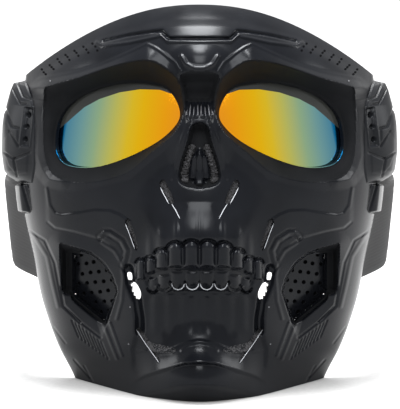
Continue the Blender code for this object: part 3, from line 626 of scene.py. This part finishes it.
def cut_cells(a, w, holes, keep=None):
    """Grid cells outside all holes, and the grid with its loose edge moved onto the outlines."""
    middle_a, middle_w = ((g[:-1, :-1] + g[1:, :-1] + g[:-1, 1:] + g[1:, 1:]) / 4 for g in (a, w))
    gone = np.zeros(middle_a.shape, bool)
    a, w = a.copy(), w.copy()
    outlines = [(hole, False) for hole in holes] + ([(keep, True)] if keep is not None else [])
    for outline, outer in outlines:
        outline = np.array(outline, float)
        low, high = outline.min(axis=0) - 3, outline.max(axis=0) + 3
        near = (middle_a > low[0]) & (middle_a < high[0]) & (middle_w > low[1]) & (middle_w < high[1])
        drop = np.zeros(middle_a.shape, bool)
        drop[near] = nearest(middle_a[near], middle_w[near], outline)[3]
        if outer:
            drop = ~drop
        touches = np.zeros(a.shape, int)
        for r in (0, 1):
            for c in (0, 1):
                touches[r : a.shape[0] - 1 + r, c : a.shape[1] - 1 + c] += drop
        full = np.full(a.shape, 4)
        full[0, :] = full[-1, :] = 2
        full[:, 0] = full[:, -1] = 2
        edge = (touches > 0) & (touches < full)
        _, at_a, at_w, _ = nearest(a[edge], w[edge], outline)
        a[edge], w[edge] = at_a, at_w
        gone |= drop
    return ~gone, a, w


def cell_faces(kept):
    """Quads of the kept cells, as vertex numbers of the whole grid."""
    rows, columns = kept.shape
    number = np.arange((rows + 1) * (columns + 1)).reshape(rows + 1, columns + 1)
    corners = np.stack((number[:-1, :-1], number[:-1, 1:], number[1:, 1:], number[1:, :-1]), axis=-1)
    return corners[kept]


def loose_edges(faces):
    """Edges that only one face uses."""
    pairs = np.concatenate([faces[:, (k, (k + 1) % 4)] for k in range(4)])
    key = np.sort(pairs, axis=1)
    _, first, count = np.unique(key, axis=0, return_index=True, return_counts=True)
    return pairs[first[count == 1]]


def edge_walls(points, inward, faces, depth):
    """Points and quads of the walls round a sheet's loose edges, from its face inwards."""
    points, inward = points.reshape(-1, 3), inward.reshape(-1, 3)
    rings = np.concatenate([points + inward * depth * share for share in EDGE_STEPS])
    pairs = loose_edges(faces)
    quads = []
    for k in range(len(EDGE_STEPS) - 1):
        near, far = pairs + k * len(points), pairs + (k + 1) * len(points)
        quads.append(np.stack((near[:, 1], near[:, 0], far[:, 0], far[:, 1]), axis=-1))
    return rings, np.concatenate(quads)


def shell_sheet(columns, rows, holes):
    """The face pierced by its openings: cell mask, sight points, normals and wall directions."""
    turns = np.linspace(-1, 1, 2 * columns + 1)
    high = rim_top(turns)
    low = skin(turns, 0.02)[1] / MASK_HEIGHT * math.tan(LEAN)
    for _ in range(3):
        x, bare, _ = skin(turns, low)
        low = face_depth(x, low * MASK_HEIGHT, bare) * math.tan(LEAN) / MASK_HEIGHT
    shares = low + (high - low) * np.linspace(0, 1, rows + 1)[:, None]
    x, bare, inward = skin(turns, shares)
    bare = bare + crown(shares, high, turns)
    height = shares * MASK_HEIGHT
    kept, new_a, new_w = cut_cells(*drawn(x, height), holes)
    new_x, new_height = undrawn(new_a, new_w)
    new_x = new_x * np.where(x < 0, -1.0, 1.0)
    run, climb = np.gradient(x, axis=1), np.gradient(height, axis=0)
    bare = (
        bare
        + (new_x - x) * np.gradient(bare, axis=1) / (run + 1e-9 * (run == 0))
        + (new_height - height) * np.gradient(bare, axis=0) / climb
    )
    points = np.stack((new_x, face_depth(new_x, new_height, bare), new_height), axis=-1)
    normals = grid_normals(points, -inward)
    return kept, points, normals, unit(0.6 * -normals + 0.4 * inward)


# Materials


def nodes_of(name, **inputs):
    made = bpy.data.materials.new(name)
    made.use_nodes = True
    shader = made.node_tree.nodes["Principled BSDF"]
    for key, value in inputs.items():
        shader.inputs[key.replace("_", " ")].default_value = value
    return made, made.node_tree, shader


def add_node(tree, kind, links=(), **values):
    node = tree.nodes.new(kind)
    for key, value in values.items():
        if hasattr(node, key):
            setattr(node, key, value)
        else:
            node.inputs[key.replace("_", " ")].default_value = value
    for source, target in links:
        tree.links.new(source, node.inputs[target])
    return node

def texture(tree, kind, coordinates="Object", **values):
    """Output of a procedural texture."""
    place = add_node(tree, "ShaderNodeTexCoord").outputs[coordinates]
    node = add_node(tree, f"ShaderNodeTex{kind}", [(place, "Vector")], **values)
    return node.outputs["Distance" if kind == "Voronoi" else "Fac"]


def figure(tree, operation, *values):
    """Output of a maths node on sockets and numbers."""
    node = add_node(tree, "ShaderNodeMath", operation=operation)
    for value, socket in zip(values, node.inputs):
        if isinstance(value, float):
            socket.default_value = value
        else:
            tree.links.new(value, socket)
    return node.outputs[0]


def coloured(tree, shader, source, *stops):
    """A colour ramp as the shader's colour."""
    node = add_node(tree, "ShaderNodeValToRGB", [(source, "Fac")])
    elements = node.color_ramp.elements
    while len(elements) < len(stops):
        elements.new(0.5)
    for element, (place, colour) in zip(elements, stops):
        element.position = place
        element.color = (*colour, 1.0)
    tree.links.new(node.outputs["Color"], shader.inputs["Base Color"])


def glossed(tree, shader, source, low, high, start=0.0, end=1.0):
    """Roughness from low to high as the source goes from start to end."""
    span = {"From_Min": start, "From_Max": end, "To_Min": low, "To_Max": high}
    node = add_node(tree, "ShaderNodeMapRange", [(source, "Value")], **span)
    tree.links.new(node.outputs["Result"], shader.inputs["Roughness"])


def bumped(tree, shader, height, strength, distance):
    bump = add_node(tree, "ShaderNodeBump", [(height, "Height")], Strength=strength, Distance=distance)
    tree.links.new(bump.outputs["Normal"], shader.inputs["Normal"])


def plastic(name, colour, roughness, grain=0.25, spread=0.08, level=0.35, ior=1.5):
    """Moulded plastic: a fine grain, and gloss and tone that vary a little."""
    # Cool tint on the reflections: painted cool light.
    tint = (0.93, 0.96, 1.0, 1.0)
    made, tree, shader = nodes_of(name, Specular_IOR_Level=level, IOR=ior, Specular_Tint=tint)
    clouds = texture(tree, "Noise", Scale=38.0, Detail=3.0)
    darker, lighter = (tuple(c * share for c in colour) for share in (0.8, 1.25))
    coloured(tree, shader, clouds, (0.3, darker), (0.7, lighter))
    glossed(tree, shader, clouds, roughness - spread, roughness + spread, 0.3, 0.7)
    bumped(tree, shader, texture(tree, "Noise", Scale=1400.0, Detail=2.0), grain, 0.00008)
    return made


def mirror():
    """The lens's mirror coat: hue runs from orange at the nose to blue at the sides."""
    made, tree, shader = nodes_of("iridescent_mirror", Metallic=1.0)
    place = add_node(tree, "ShaderNodeTexCoord").outputs["Object"]
    split = add_node(tree, "ShaderNodeSeparateXYZ", [(place, "Vector")]).outputs
    wave = figure(tree, "MULTIPLY", texture(tree, "Noise", Scale=14.0, Detail=1.0), 0.004)
    up = figure(tree, "SUBTRACT", split["Z"], LENS_MIDDLE * MASK_HEIGHT)
    slant = figure(tree, "MULTIPLY_ADD", up, 0.18, wave)
    off = figure(tree, "ADD", figure(tree, "ABSOLUTE", split["X"]), slant)
    coloured(
        tree, shader, figure(tree, "DIVIDE", off, 0.095),
        (0.15, (0.90, 0.33, 0.015)), (0.24, (0.92, 0.38, 0.008)), (0.39, (0.86, 0.50, 0.008)),
        (0.46, (0.78, 0.54, 0.024)), (0.56, (0.53, 0.52, 0.12)), (0.66, (0.29, 0.44, 0.26)),
        (0.75, (0.17, 0.35, 0.35)), (0.838, (0.075, 0.25, 0.36)), (0.850, (0.002, 0.13, 0.29)),
        (0.97, (0.0, 0.08, 0.19)),
    )
    glossed(tree, shader, texture(tree, "Noise", Scale=60.0, Detail=4.0), 0.05, 0.12)
    return made


def foam():
    """Open-cell foam: rough pits, painted darker as shade, and lighter walls."""
    made, tree, shader = nodes_of("open_foam", Roughness=0.8)
    cells = texture(tree, "Voronoi", Scale=900.0)
    # Dark in the cells' pits and lighter on their walls: painted shade in the pits.
    coloured(tree, shader, cells, (0.15, (0.0007, 0.0007, 0.0009)), (0.8, (0.038, 0.038, 0.042)))
    bumped(tree, shader, cells, 1.0, 0.0006)
    return made


def webbing():
    """Elastic webbing: fine ribs along the band and a cross weave."""
    made, tree, shader = nodes_of("elastic_webbing", Roughness=0.85, Sheen_Weight=0.06)
    ribs = texture(tree, "Wave", "UV", Scale=150.0, bands_direction="Y")
    cross = texture(tree, "Wave", "UV", Scale=330.0, bands_direction="X")
    both = figure(tree, "MULTIPLY", ribs, cross)
    coloured(tree, shader, both, (0.0, (0.0015, 0.0015, 0.002)), (1.0, (0.0045, 0.0045, 0.0055)))
    bumped(tree, shader, both, 0.3, 0.0002)
    return made


def paper():
    made, tree, shader = nodes_of("studio_floor", Roughness=0.9)
    fibres = texture(tree, "Noise", Scale=300.0)
    coloured(tree, shader, fibres, (0.3, (0.41, 0.41, 0.41)), (0.7, (0.45, 0.45, 0.45)))
    return made


BLACK = plastic("black_plastic_gloss", (0.0036, 0.0040, 0.0052), 0.21, spread=0.05, level=0.105)
MATT = plastic("black_plastic_matt", (0.0065, 0.0068, 0.0075), 0.62, level=0.10, ior=1.2)
DARK = plastic("black_plastic_inside", (0.004, 0.004, 0.005), 0.55, level=0.15)
# Near-black and nearly without reflection: painted shade in the brow vents and behind the grille's holes.
PIT_SHADE = plastic("pit_shadow", (0.0012, 0.0012, 0.0015), 0.8, level=0.02)
SATIN = plastic("black_plastic_satin", (0.0040, 0.0044, 0.0054), 0.38, spread=0.05, level=0.12)
# Grey rather than black: painted glints on the studs and on the ribs between the eyes.
STUD = plastic("stud_painted_glint", (0.07, 0.07, 0.075), 0.28, level=0.3)
# Light grey: painted highlights along the slot edges and the gum arcs of the lower teeth.
LIP = plastic("painted_highlight_edge", (0.30, 0.31, 0.33), 0.25)
MIRROR = mirror()
# Dark, barely metallic band at the lens's top: a painted reflection of the dark brow over it.
BROW_REFLECTION_PAINT = plastic("painted_brow_reflection", (0.020, 0.021, 0.019), 0.16, grain=0.02, spread=0.03, level=0.35)
FOAM = foam()
WEBBING = webbing()


# Pieces


def sunken_cells(points):
    """Cells of the eye sockets, the nose hole and other hollows, which have a duller finish."""
    middle = (points[:-1, :-1] + points[1:, 1:]) / 2
    a, w = drawn(middle[..., 0], middle[..., 2])
    outlines = (smooth(from_shares(SOCKET_RIM)), smooth(both_sides(NOSE_RIM), 4), WINDOW_WALLS, HOLLOW)
    found = np.any([within(a, w, outline) > -0.9 for outline in outlines], axis=0)
    return found & (within(a, w, SEPTUM) < 0)


def make_shell():
    openings = [smooth(from_shares(EYE_HOLE), 8), from_shares(WINDOW)]
    slots = [smooth(points, 4) for points in SLOTS.values()]
    kept, points, normals, inward = shell_sheet(COLUMNS, ROWS, openings + slots)
    sunken = sunken_cells(points)
    lower = np.arange(kept.shape[0])[:, None] < SPLIT_ROW
    for name, cells, finish in (
        ("shell_lower", lower & ~sunken, BLACK), ("shell_upper", ~lower & ~sunken, BLACK),
        ("shell_sockets", sunken, MATT),
    ):
        add_mesh(name, points, cell_faces(kept & cells), finish, "mask_shell", normals)
    add_mesh("shell_edges", *edge_walls(points, inward, cell_faces(kept), WALL), BLACK, "mask_shell")
    wide = [grown(slot, 2.1) for slot in slots]
    kept, points, _, inward = shell_sheet(COLUMNS // INSIDE_STEP, ROWS // INSIDE_STEP, openings + wide)
    inner = points + WALL * inward
    inner[..., 2] = np.maximum(inner[..., 2], inner[..., 1] * math.tan(LEAN))
    add_mesh("shell_inside", inner, cell_faces(kept)[:, ::-1], DARK, "mask_shell")


def make_lens():
    """One curved sheet: its mirror coat, a dark band along its top that is a painted reflection of the brow,
    its back and its rim.
    """
    edge = smooth(np.array(both_sides(LENS_EDGE, 0.0)) * (HALF_WIDTH, MASK_HEIGHT), 8)
    (left, low), (right, high) = edge.min(axis=0) - LENS_SPARE, edge.max(axis=0) + LENS_SPARE
    across = np.linspace(left, right, LENS_COLUMNS + 1)
    seam = np.interp(np.abs(across), *undrawn(*np.array(LENS_BAND).T))
    seam = np.clip(seam, low + 3 * LENS_SPARE, high - 2 * LENS_SPARE)
    share = np.linspace(0, 1, LENS_ROWS + 1)[:, None]
    under = low + (seam - low) * share
    over = seam + (high - seam) * share[: LENS_ROWS // 2 + 1] * 2
    height = np.concatenate((under, over[1:]))
    kept, a, w = cut_cells((across + 0 * height) / GRID, height / GRID, [], keep=edge / GRID)
    x, height = a * GRID, w * GRID
    front = np.stack((x, lens_depth(x, height), height), axis=-1)
    way = np.stack((-x / LENS_RADIUS, np.sqrt(1 - (x / LENS_RADIUS) ** 2), 0 * x), axis=-1)
    normals = grid_normals(front, -way)
    coated = np.arange(len(height) - 1)[:, None] < LENS_ROWS
    faces = cell_faces(kept)
    for name, points, quads, finish, bent in (
        ("lens_front", front, cell_faces(kept & coated), MIRROR, normals),
        ("lens_painted_reflection_band", front, cell_faces(kept & ~coated), BROW_REFLECTION_PAINT, normals),
        ("lens_back", front + LENS_THICKNESS * way, faces[:, ::-1], MIRROR, None),
        ("lens_rim", *edge_walls(front, way, faces, LENS_THICKNESS), MIRROR, None),
    ):
        add_mesh(name, points, quads, finish, "goggle_lens", bent, "mirror_lens")


def turn_at(x, height):
    """The turn at which the bare shell has this x."""
    low, high = np.zeros(x.shape), np.ones(x.shape)
    for _ in range(24):
        middle = (low + high) / 2
        less = skin(middle, height / MASK_HEIGHT)[0] < x
        low, high = np.where(less, middle, low), np.where(less, high, middle)
    return (low + high) / 2


def make_grilles():
    """The perforated plates behind the cheek windows, with a near-black sheet behind them as painted shade
    in the holes.
    """
    edge = from_shares(WINDOW)
    middle = (edge.min(axis=0) + edge.max(axis=0)) / 2
    border = middle + (edge - middle) * 1.10
    low, high = border.min(axis=0) - 1, border.max(axis=0) + 1
    a, w = np.meshgrid(np.linspace(low[0], high[0], 80), np.linspace(low[1], high[1], 130))
    solid = nearest(a[:-1, :-1], w[:-1, :-1], border)[3] & nearest(a[1:, 1:], w[1:, 1:], border)[3]
    ring = circle(12) * GRILLE_HOLE_RADIUS - GRILLE_SHIFT
    kept, a, w = cut_cells(a, w, [ring + centre for centre in GRILLE_HOLES], keep=border)
    x, height = undrawn(a, w)
    _, bare, inward = skin(turn_at(x, height), height / MASK_HEIGHT)
    depth = swollen(x, height, bare) + WINDOW_DEPTH * SHELL_DEPTH
    points = np.stack((x, depth, height), axis=-1)
    way = unit(0.7 * -grid_normals(points, -inward) + 0.3 * inward)
    points = points + (WALL + 2 * FIT_GAP) * way
    faces = cell_faces(kept)[:, ::-1]
    for name, placed, quads, finish in (
        ("grille_face", points, faces, BLACK),
        ("grille_edges", *edge_walls(points, way, faces, GRILLE_THICKNESS), DARK),
        ("grille_shade_sheet", points + way * GRILLE_THICKNESS, cell_faces(solid)[:, ::-1], PIT_SHADE),
    ):
        add_pair(name, placed, quads, finish, "cheek_grille")


def face_at(a, w):
    """Sight points on the right half of the finished face, from the drawing."""
    x, height = undrawn(np.asarray(a, float), np.asarray(w, float))
    turn, share = turn_at(x, height), height / MASK_HEIGHT
    bare = skin(turn, share)[1] + crown(share, rim_top(turn), turn)
    return np.stack((x, face_depth(x, height, bare), height), axis=-1)


def face_normal(a, w):
    across = face_at(a - 1.0, w) - face_at(a + 1.0, w)
    up = face_at(a, w - 1.0) - face_at(a, w + 1.0)
    square = unit(np.cross(across, up))
    return square * np.sign(-square[..., 1:2])


def circle(sides):
    turn = np.linspace(0, 2 * math.pi, sides + 1)[:-1]
    return np.stack((np.cos(turn), np.sin(turn)), axis=-1)


def disc_field(name, centres, radius, lift, finish):
    """Small round discs on both sides of the face."""
    a, w = np.array(centres, float).T[..., None]
    ring = circle(12).T * radius
    rim = face_at(a + ring[0], w + ring[1]) + lift * face_normal(a, w)
    loops = np.arange(rim[..., 0].size).reshape(len(centres), -1)
    faces = np.concatenate((loops, loops[:, ::-1] + loops.size))
    add_mesh(name, np.concatenate((rim * (-1, 1, 1), rim)), faces, finish, "mask_shell")


def tube_points(path, radius, sides, lumps):
    """Rings of a tube along a path of sight points, thinner at its ends."""
    along = unit(np.gradient(path, axis=0))
    side = unit(np.cross(along, (0.0, -1.0, 0.0)))
    over = np.cross(side, along)
    count = len(path)
    share = np.linspace(0, 1, count)
    width = radius * np.clip(np.minimum(share, 1 - share) * count / 2.5, 0.15, 1)
    bumps = 1 + lumps * (np.random.default_rng(7).random((count, sides)) - 0.5)
    ring = circle(sides)
    ring = ring[None, :, :1] * side[:, None] + ring[None, :, 1:] * over[:, None]
    points = path[:, None] + ring * (width[:, None] * bumps)[..., None]
    number = np.arange(count * sides).reshape(count, sides)
    turned = np.roll(number, -1, axis=1)
    faces = np.stack((number[:-1], turned[:-1], turned[1:], number[1:]), axis=-1).reshape(-1, 4)
    return points.reshape(-1, 3), faces


def along_line(points, step):
    """Evenly spaced points of a drawn line."""
    points = np.array(points, float)
    places = np.concatenate(([0], np.cumsum(np.linalg.norm(np.diff(points, axis=0), axis=1))))
    at = np.linspace(0, places[-1], max(3, int(places[-1] / step)))
    return np.stack([np.interp(at, places, points[:, k]) for k in range(2)], axis=-1)


def tubes_on_face(
    name, lines, radius, lift, finish, node="mask_shell", slot="black_plastic", step=1.0, sides=8, lumps=0.0
):
    """Thin beads along drawn lines, on both sides of the face."""
    points, faces = [], []
    for line in lines:
        path = face_at(*along_line(line, step).T) - (0.0, lift, 0.0)
        for sign in (-1, 1):
            made, quads = tube_points(path * (sign, 1, 1), radius, sides, lumps)
            faces.append(quads + sum(map(len, points)))
            points.append(made)
    add_mesh(name, np.concatenate(points), np.concatenate(faces), finish, node, slot=slot)


def make_trims():
    """Slot and tooth edges in light grey for painted highlights, vents over the brow as near-black discs of
    painted shade, studs and nose ribs in grey for painted glints, foam in the nose and the lens's edge.
    """
    tubes_on_face("slot_edges", SLOT_EDGES, 0.00026, 0.0001, LIP)
    tubes_on_face("tooth_edges", TOOTH_EDGES, 0.00030, 0.0002, LIP)
    tubes_on_face("nose_ribs", NOSE_RIBS, 0.00034, 0.0001, STUD)
    # Near-black discs over the vents: painted shade in the holes.
    disc_field("brow_vents", [point for row in VENTS for point in row], 1.15, 0.00012, PIT_SHADE)
    disc_field("small_studs", STUDS, 0.8, 0.0002, STUD)
    tubes_on_face("nose_foam", [NOSE_FOAM], 0.0020, 0.0006, FOAM, "nose_filter", "filter_foam", 0.6, 12, 0.9)
    low_edge = smooth(from_shares(EYE_HOLE), 8)[9 * 8 : 13 * 8]
    tubes_on_face("lens_bead", [low_edge], 0.00024, 0.0, MIRROR, "goggle_lens", "mirror_lens")


def make_slot_mesh():
    """Bumpy filter mesh just behind the slots, and foam over the chin."""
    random = np.random.default_rng(11)
    for name, node, behind in (
        ("nose_slot", "cheek_filter", 0.0020), ("cheek_slot", "cheek_filter", 0.0020),
        ("jaw_slot", "jaw_filter", 0.0020), ("chin_foam", "jaw_filter", -0.0006),
    ):
        border = grown(smooth(SLOTS.get(name, CHIN_FOAM), 4), 1.25)
        low, high = border.min(axis=0), border.max(axis=0)
        a, w = np.meshgrid(np.arange(low[0], high[0], 0.7), np.arange(low[1], high[1], 0.7))
        kept, a, w = cut_cells(a, w, [], keep=border)
        points = face_at(a, w)
        points[..., 1] += behind + 0.0012 * random.random(a.shape)
        add_pair(f"{name}_mesh", points, cell_faces(kept)[:, ::-1], FOAM, node, slot="filter_foam")


def pad_pair(name, node, heights, first_turn, last_turn, rise, relief, steps, finish):
    """A block on the skin of each side, whose form rise and relief give."""
    back, up = np.meshgrid(np.linspace(0, 1, steps[0]), np.linspace(0, 1, steps[1]))
    height = np.interp(up, (0, 1), heights)
    start = first_turn(height)
    x, depth, inward = skin(start + (last_turn - start) * back, height)
    points = np.stack((x, depth, height * MASK_HEIGHT), axis=-1) - rise(back, height)[..., None] * inward
    lines = relief(*drawn(points[..., 0], points[..., 2]))
    points = points + lines[..., None] * grid_normals(points, -inward)
    faces = cell_faces(np.ones((steps[1] - 1, steps[0] - 1), bool))
    add_pair(name, points, faces, finish, node, grid_normals(points, -inward))


def temple_turn(height):
    """Turn of the temple block's front edge."""
    seam = np.array(TEMPLE_SEAM)
    line = np.interp(height, seam[:, 0], seam[:, 1])
    return turn_at((MIDDLE - line) * GRID, height * MASK_HEIGHT)


def temple_rise(back, height):
    table = np.array(TEMPLE_RISE)
    full = np.interp(height, table[:, 0], table[:, 1]) * 0.001
    forward = ease(np.clip(back / 0.50, 0, 1)) ** 0.8
    step = 0.0012 * ease(back / 0.03)
    rise = np.minimum(full, -0.0004 + step + (full - 0.0008) * forward)
    return rise * ease((1.004 - back) / 0.10) - 0.0003


def temple_relief(a, w):
    rise = -0.0014 * raised(a, w, TEMPLE_SLOT, 0.8)
    rise += 0.0004 * fade(within(a, w, TEMPLE_SLOT) + 1.2, 1.2)
    for hole in TEMPLE_HOLES:
        rise -= 0.0022 * ease(2.3 - np.hypot(a - hole[0], (w - hole[1]) * 0.75))
    for line in TEMPLE_LINES:
        rise -= 0.0008 * fade(away(a, w, line), 1.6)
    for plate in TEMPLE_PLATES:
        rise += 0.0003 * raised(a, w, plate, 1.0)
    return rise


def clip_rise(back, height):
    share = (height - CLIP_SPAN[0]) / (CLIP_SPAN[1] - CLIP_SPAN[0])
    ends = ease(np.minimum(share, 1 - share) / 0.12)
    return -0.0004 + CLIP_THICKNESS * ends * ease(back / 0.35) * ease((1.01 - back) / 0.10)


def clip_relief(a, w):
    return sum(-0.0007 * fade(away(a, w, line), 1.5) for line in CLIP_LINES)


def make_temples():
    """The temple blocks, and the strap clips below them."""
    pad_pair(
        "temple_cover", "temple_block", TEMPLE_SPAN, temple_turn, 1.06, temple_rise, temple_relief,
        (90, 150), SATIN,
    )
    pad_pair(
        "clip_cover", "strap_clip", CLIP_SPAN, lambda height: np.full(height.shape, 0.80), 0.985,
        clip_rise, clip_relief, (50, 60), BLACK,
    )


def wall_point(turn, z, inset):
    """A point inset from the skin at an upright height: x and upright depth."""
    height = np.full(np.shape(z), 0.35)
    for _ in range(6):
        x, depth, inward = skin(turn, height)
        height = (z + depth * math.sin(LEAN)) / math.cos(LEAN) / MASK_HEIGHT
    x, depth = x + inset * inward[..., 0], depth + inset * inward[..., 1]
    return x, depth * math.cos(LEAN) + height * MASK_HEIGHT * math.sin(LEAN)


def strap_line(levels):
    """Upright x and depth of the right half of the band, from its end to the middle of the back."""
    columns = [wall_point(turn, levels, STRAP_INSET) for turn in np.linspace(0.86, 1.0, 8)]
    edge_x, edge_y = columns[-1]
    bulge = STRAP_BULGE + 0.0050 * (levels - levels.mean()) / STRAP_WIDTH
    for share in np.linspace(0, 1, 25)[1:]:
        x = edge_x + (bulge - edge_x) * ease(share)
        columns.append((x, edge_y + (STRAP_BULGE_BACK - edge_y) * share))
    for angle in np.linspace(0, math.pi / 2, 40)[1:]:
        depth = STRAP_BULGE_BACK + (STRAP_BACK - STRAP_BULGE_BACK) * math.sin(angle) ** 0.85
        columns.append((bulge * max(math.cos(angle), 0.0) ** 0.85, depth + 0 * levels))
    return np.array(columns)


def make_strap():
    """The elastic band with rolled edges and a hem line near each edge."""
    levels = STRAP_LEVEL - 0.0015 + (STRAP_WIDTH + 0.003) * np.linspace(0, 1, STRAP_ROWS)
    half = strap_line(levels)
    x = np.concatenate((half[:, 0], -half[::-1][1:, 0]))
    y = np.concatenate((half[:, 1], half[::-1][1:, 1]))
    plan = np.stack((x, y), axis=-1)
    along = np.gradient(plan, axis=0)
    out = unit(np.stack((along[..., 1], -along[..., 0]), axis=-1))
    steps = np.linalg.norm(np.diff(plan[:, STRAP_ROWS // 2], axis=0), axis=1)
    run = np.concatenate(([0], np.cumsum(steps)))
    z = levels - 0.0032 * (1 - ease((np.minimum(run, run[-1] - run) - 0.025) / 0.06))[:, None]
    across = np.linspace(-1, 1, STRAP_ROWS)
    half_thick = STRAP_THICKNESS / 2 * np.sqrt(np.clip(1 - across**8, 0, 1))
    hem = 0.0004 * fade(np.abs(across) - 0.72, 0.06)
    sheets = []
    for sign in (1, -1):
        push = sign * (half_thick - hem) - STRAP_THICKNESS / 2
        place = plan + push[None, :, None] * out
        sheets.append(np.stack((place[..., 0], place[..., 1] + SHIFT, z), axis=-1))
    number = np.arange(x.size).reshape(x.shape)
    grid = cell_faces(np.ones((x.shape[0] - 1, STRAP_ROWS - 1), bool))
    faces = [grid, grid[:, ::-1] + x.size]
    for line, way in ((number[0], -1), (number[-1], 1)):
        caps = np.stack((line[:-1], line[1:], line[1:] + x.size, line[:-1] + x.size), axis=-1)
        faces.append(caps[:, ::way])
    points, faces = np.array(sheets), np.concatenate(faces)
    band = add_mesh(
        "elastic_band", points, faces, WEBBING, "head_strap", slot="black_webbing", place=np.asarray
    )
    layer = band.data.uv_layers.new(name="UVMap")
    flat = np.stack((np.repeat(run, STRAP_ROWS), np.tile(levels, len(run))), axis=-1)
    loops = np.zeros(len(band.data.loops), int)
    band.data.loops.foreach_get("vertex_index", loops)
    layer.data.foreach_set("uv", np.concatenate((flat, flat))[loops].ravel())


def make_foam_pads():
    """Lumpy mesh foam behind the cheek and jaw slots."""
    random = np.random.default_rng(3)
    steps = 60
    faces = cell_faces(np.ones((steps - 1, steps - 1), bool))
    edge, count = loose_edges(faces), steps * steps
    walls = np.stack((edge[:, 1], edge[:, 0], edge[:, 0] + count, edge[:, 1] + count), axis=-1)
    every = np.concatenate((faces, faces[:, ::-1] + count, walls))
    for name, turns, heights, deeper in (
        ("cheek_filter", (0.20, 0.36), (0.375, 0.485), 0.0),
        ("jaw_filter", (0.145, 0.34), (0.085, 0.21), 0.0045),
    ):
        turn, share = np.meshgrid(np.linspace(*turns, steps), np.linspace(*heights, steps))
        x, bare, way = skin(turn, share)
        height = share * MASK_HEIGHT
        points = np.stack((x, swollen(x, height, bare), height), axis=-1)
        lumps = 0.0008 * random.random(turn.shape)
        inset = WALL + FIT_GAP + deeper
        front = points + (inset + 0.0006 + lumps)[..., None] * way
        both = np.array((front, points + (inset + 0.0030) * way))
        add_pair(f"{name}_pad", both, every, FOAM, name, slot="filter_foam")


# Place, target, width, length and watts
LIGHTS = {
    "top_soft": ((0.0, -0.15, 1.5), (0.0, 0.0, 0.1), 0.45, 0.75, 64.0),
    "front_soft": ((0.0, -1.25, 1.25), (0.0, 0.0, 0.1), 0.85, 0.85, 30.0),
    "back_soft": ((0.0, 1.3, 1.3), (0.0, 0.3, 0.0), 0.7, 0.7, 24.0),
    "left_soft": ((-1.2, 0.2, 0.40), (0.0, 0.0, 0.12), 0.4, 0.6, 6.0),
    "right_soft": ((1.2, 0.2, 0.40), (0.0, 0.0, 0.12), 0.4, 0.6, 6.0),
}
CAMERA_DISTANCE = 8.0
# How far the outline's plane lies behind the sight frame's zero, and the photo's middle
OUTLINE_DEPTH = 0.050
VIEW_MIDDLE = (0.0003, 204.0)
SENSOR_WIDTH = 36.0


def link(name, data):
    made = bpy.data.objects.new(name, data)
    bpy.context.scene.collection.objects.link(made)
    return made


def make_camera():
    """The photo's view: level with the face, from 9 degrees above, through a long lens."""
    scene = bpy.context.scene
    data = bpy.data.cameras.new("view")
    data.sensor_fit = "HORIZONTAL"
    data.sensor_width = SENSOR_WIDTH
    data.lens = SENSOR_WIDTH * (CAMERA_DISTANCE + OUTLINE_DEPTH) / (PICTURE_WIDTH * GRID)
    scene.camera = link("view", data)
    side, down = VIEW_MIDDLE
    target = to_world(np.array((side, 0.0, (GROUND - down) * GRID)))
    back = np.array((0.0, -math.cos(LEAN), math.sin(LEAN)))
    scene.camera.location = target + back * CAMERA_DISTANCE
    scene.camera.rotation_euler = (math.pi / 2 - LEAN, 0, 0)
    scene.view_settings.view_transform = "Standard"


def make_lights():
    """A white room and five soft lights."""
    world = bpy.data.worlds.new("studio")
    bpy.context.scene.world = world
    world.use_nodes = True
    ground = world.node_tree.nodes["Background"]
    ground.inputs["Color"].default_value = (1.0, 1.0, 1.0, 1.0)
    ground.inputs["Strength"].default_value = 0.85
    for name, (place, target, width, length, watts) in LIGHTS.items():
        data = bpy.data.lights.new(name, "AREA")
        data.shape = "RECTANGLE"
        data.size, data.size_y = width, length
        data.energy = watts
        lamp = link(name, data)
        lamp.location = place
        lamp.rotation_euler = (Vector(target) - Vector(place)).to_track_quat("-Z", "Y").to_euler()


def make_floor():
    mesh = bpy.data.meshes.new("floor")
    size = 8.0
    corners = [(-size, -size, 0), (size, -size, 0), (size, size, 0), (-size, size, 0)]
    mesh.from_pydata(corners, [], [(0, 1, 2, 3)])
    mesh.materials.append(paper())
    floor = link("floor", mesh)
    floor.location.z = -0.0002


def dress_cad():
    """Materials for the CAD nodes that stay."""
    finishes = {"goggle_lens": MIRROR, "head_strap": WEBBING}
    for name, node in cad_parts.items():
        finish = finishes.get(name, FOAM if "filter" in name else BLACK)
        for place in node.material_slots:
            place.material = finish
        if not node.material_slots:
            node.data.materials.append(finish)


dress_cad()
make_shell()
make_lens()
make_grilles()
make_trims()
make_slot_mesh()
make_temples()
make_strap()
make_foam_pads()
make_floor()
make_camera()
make_lights()
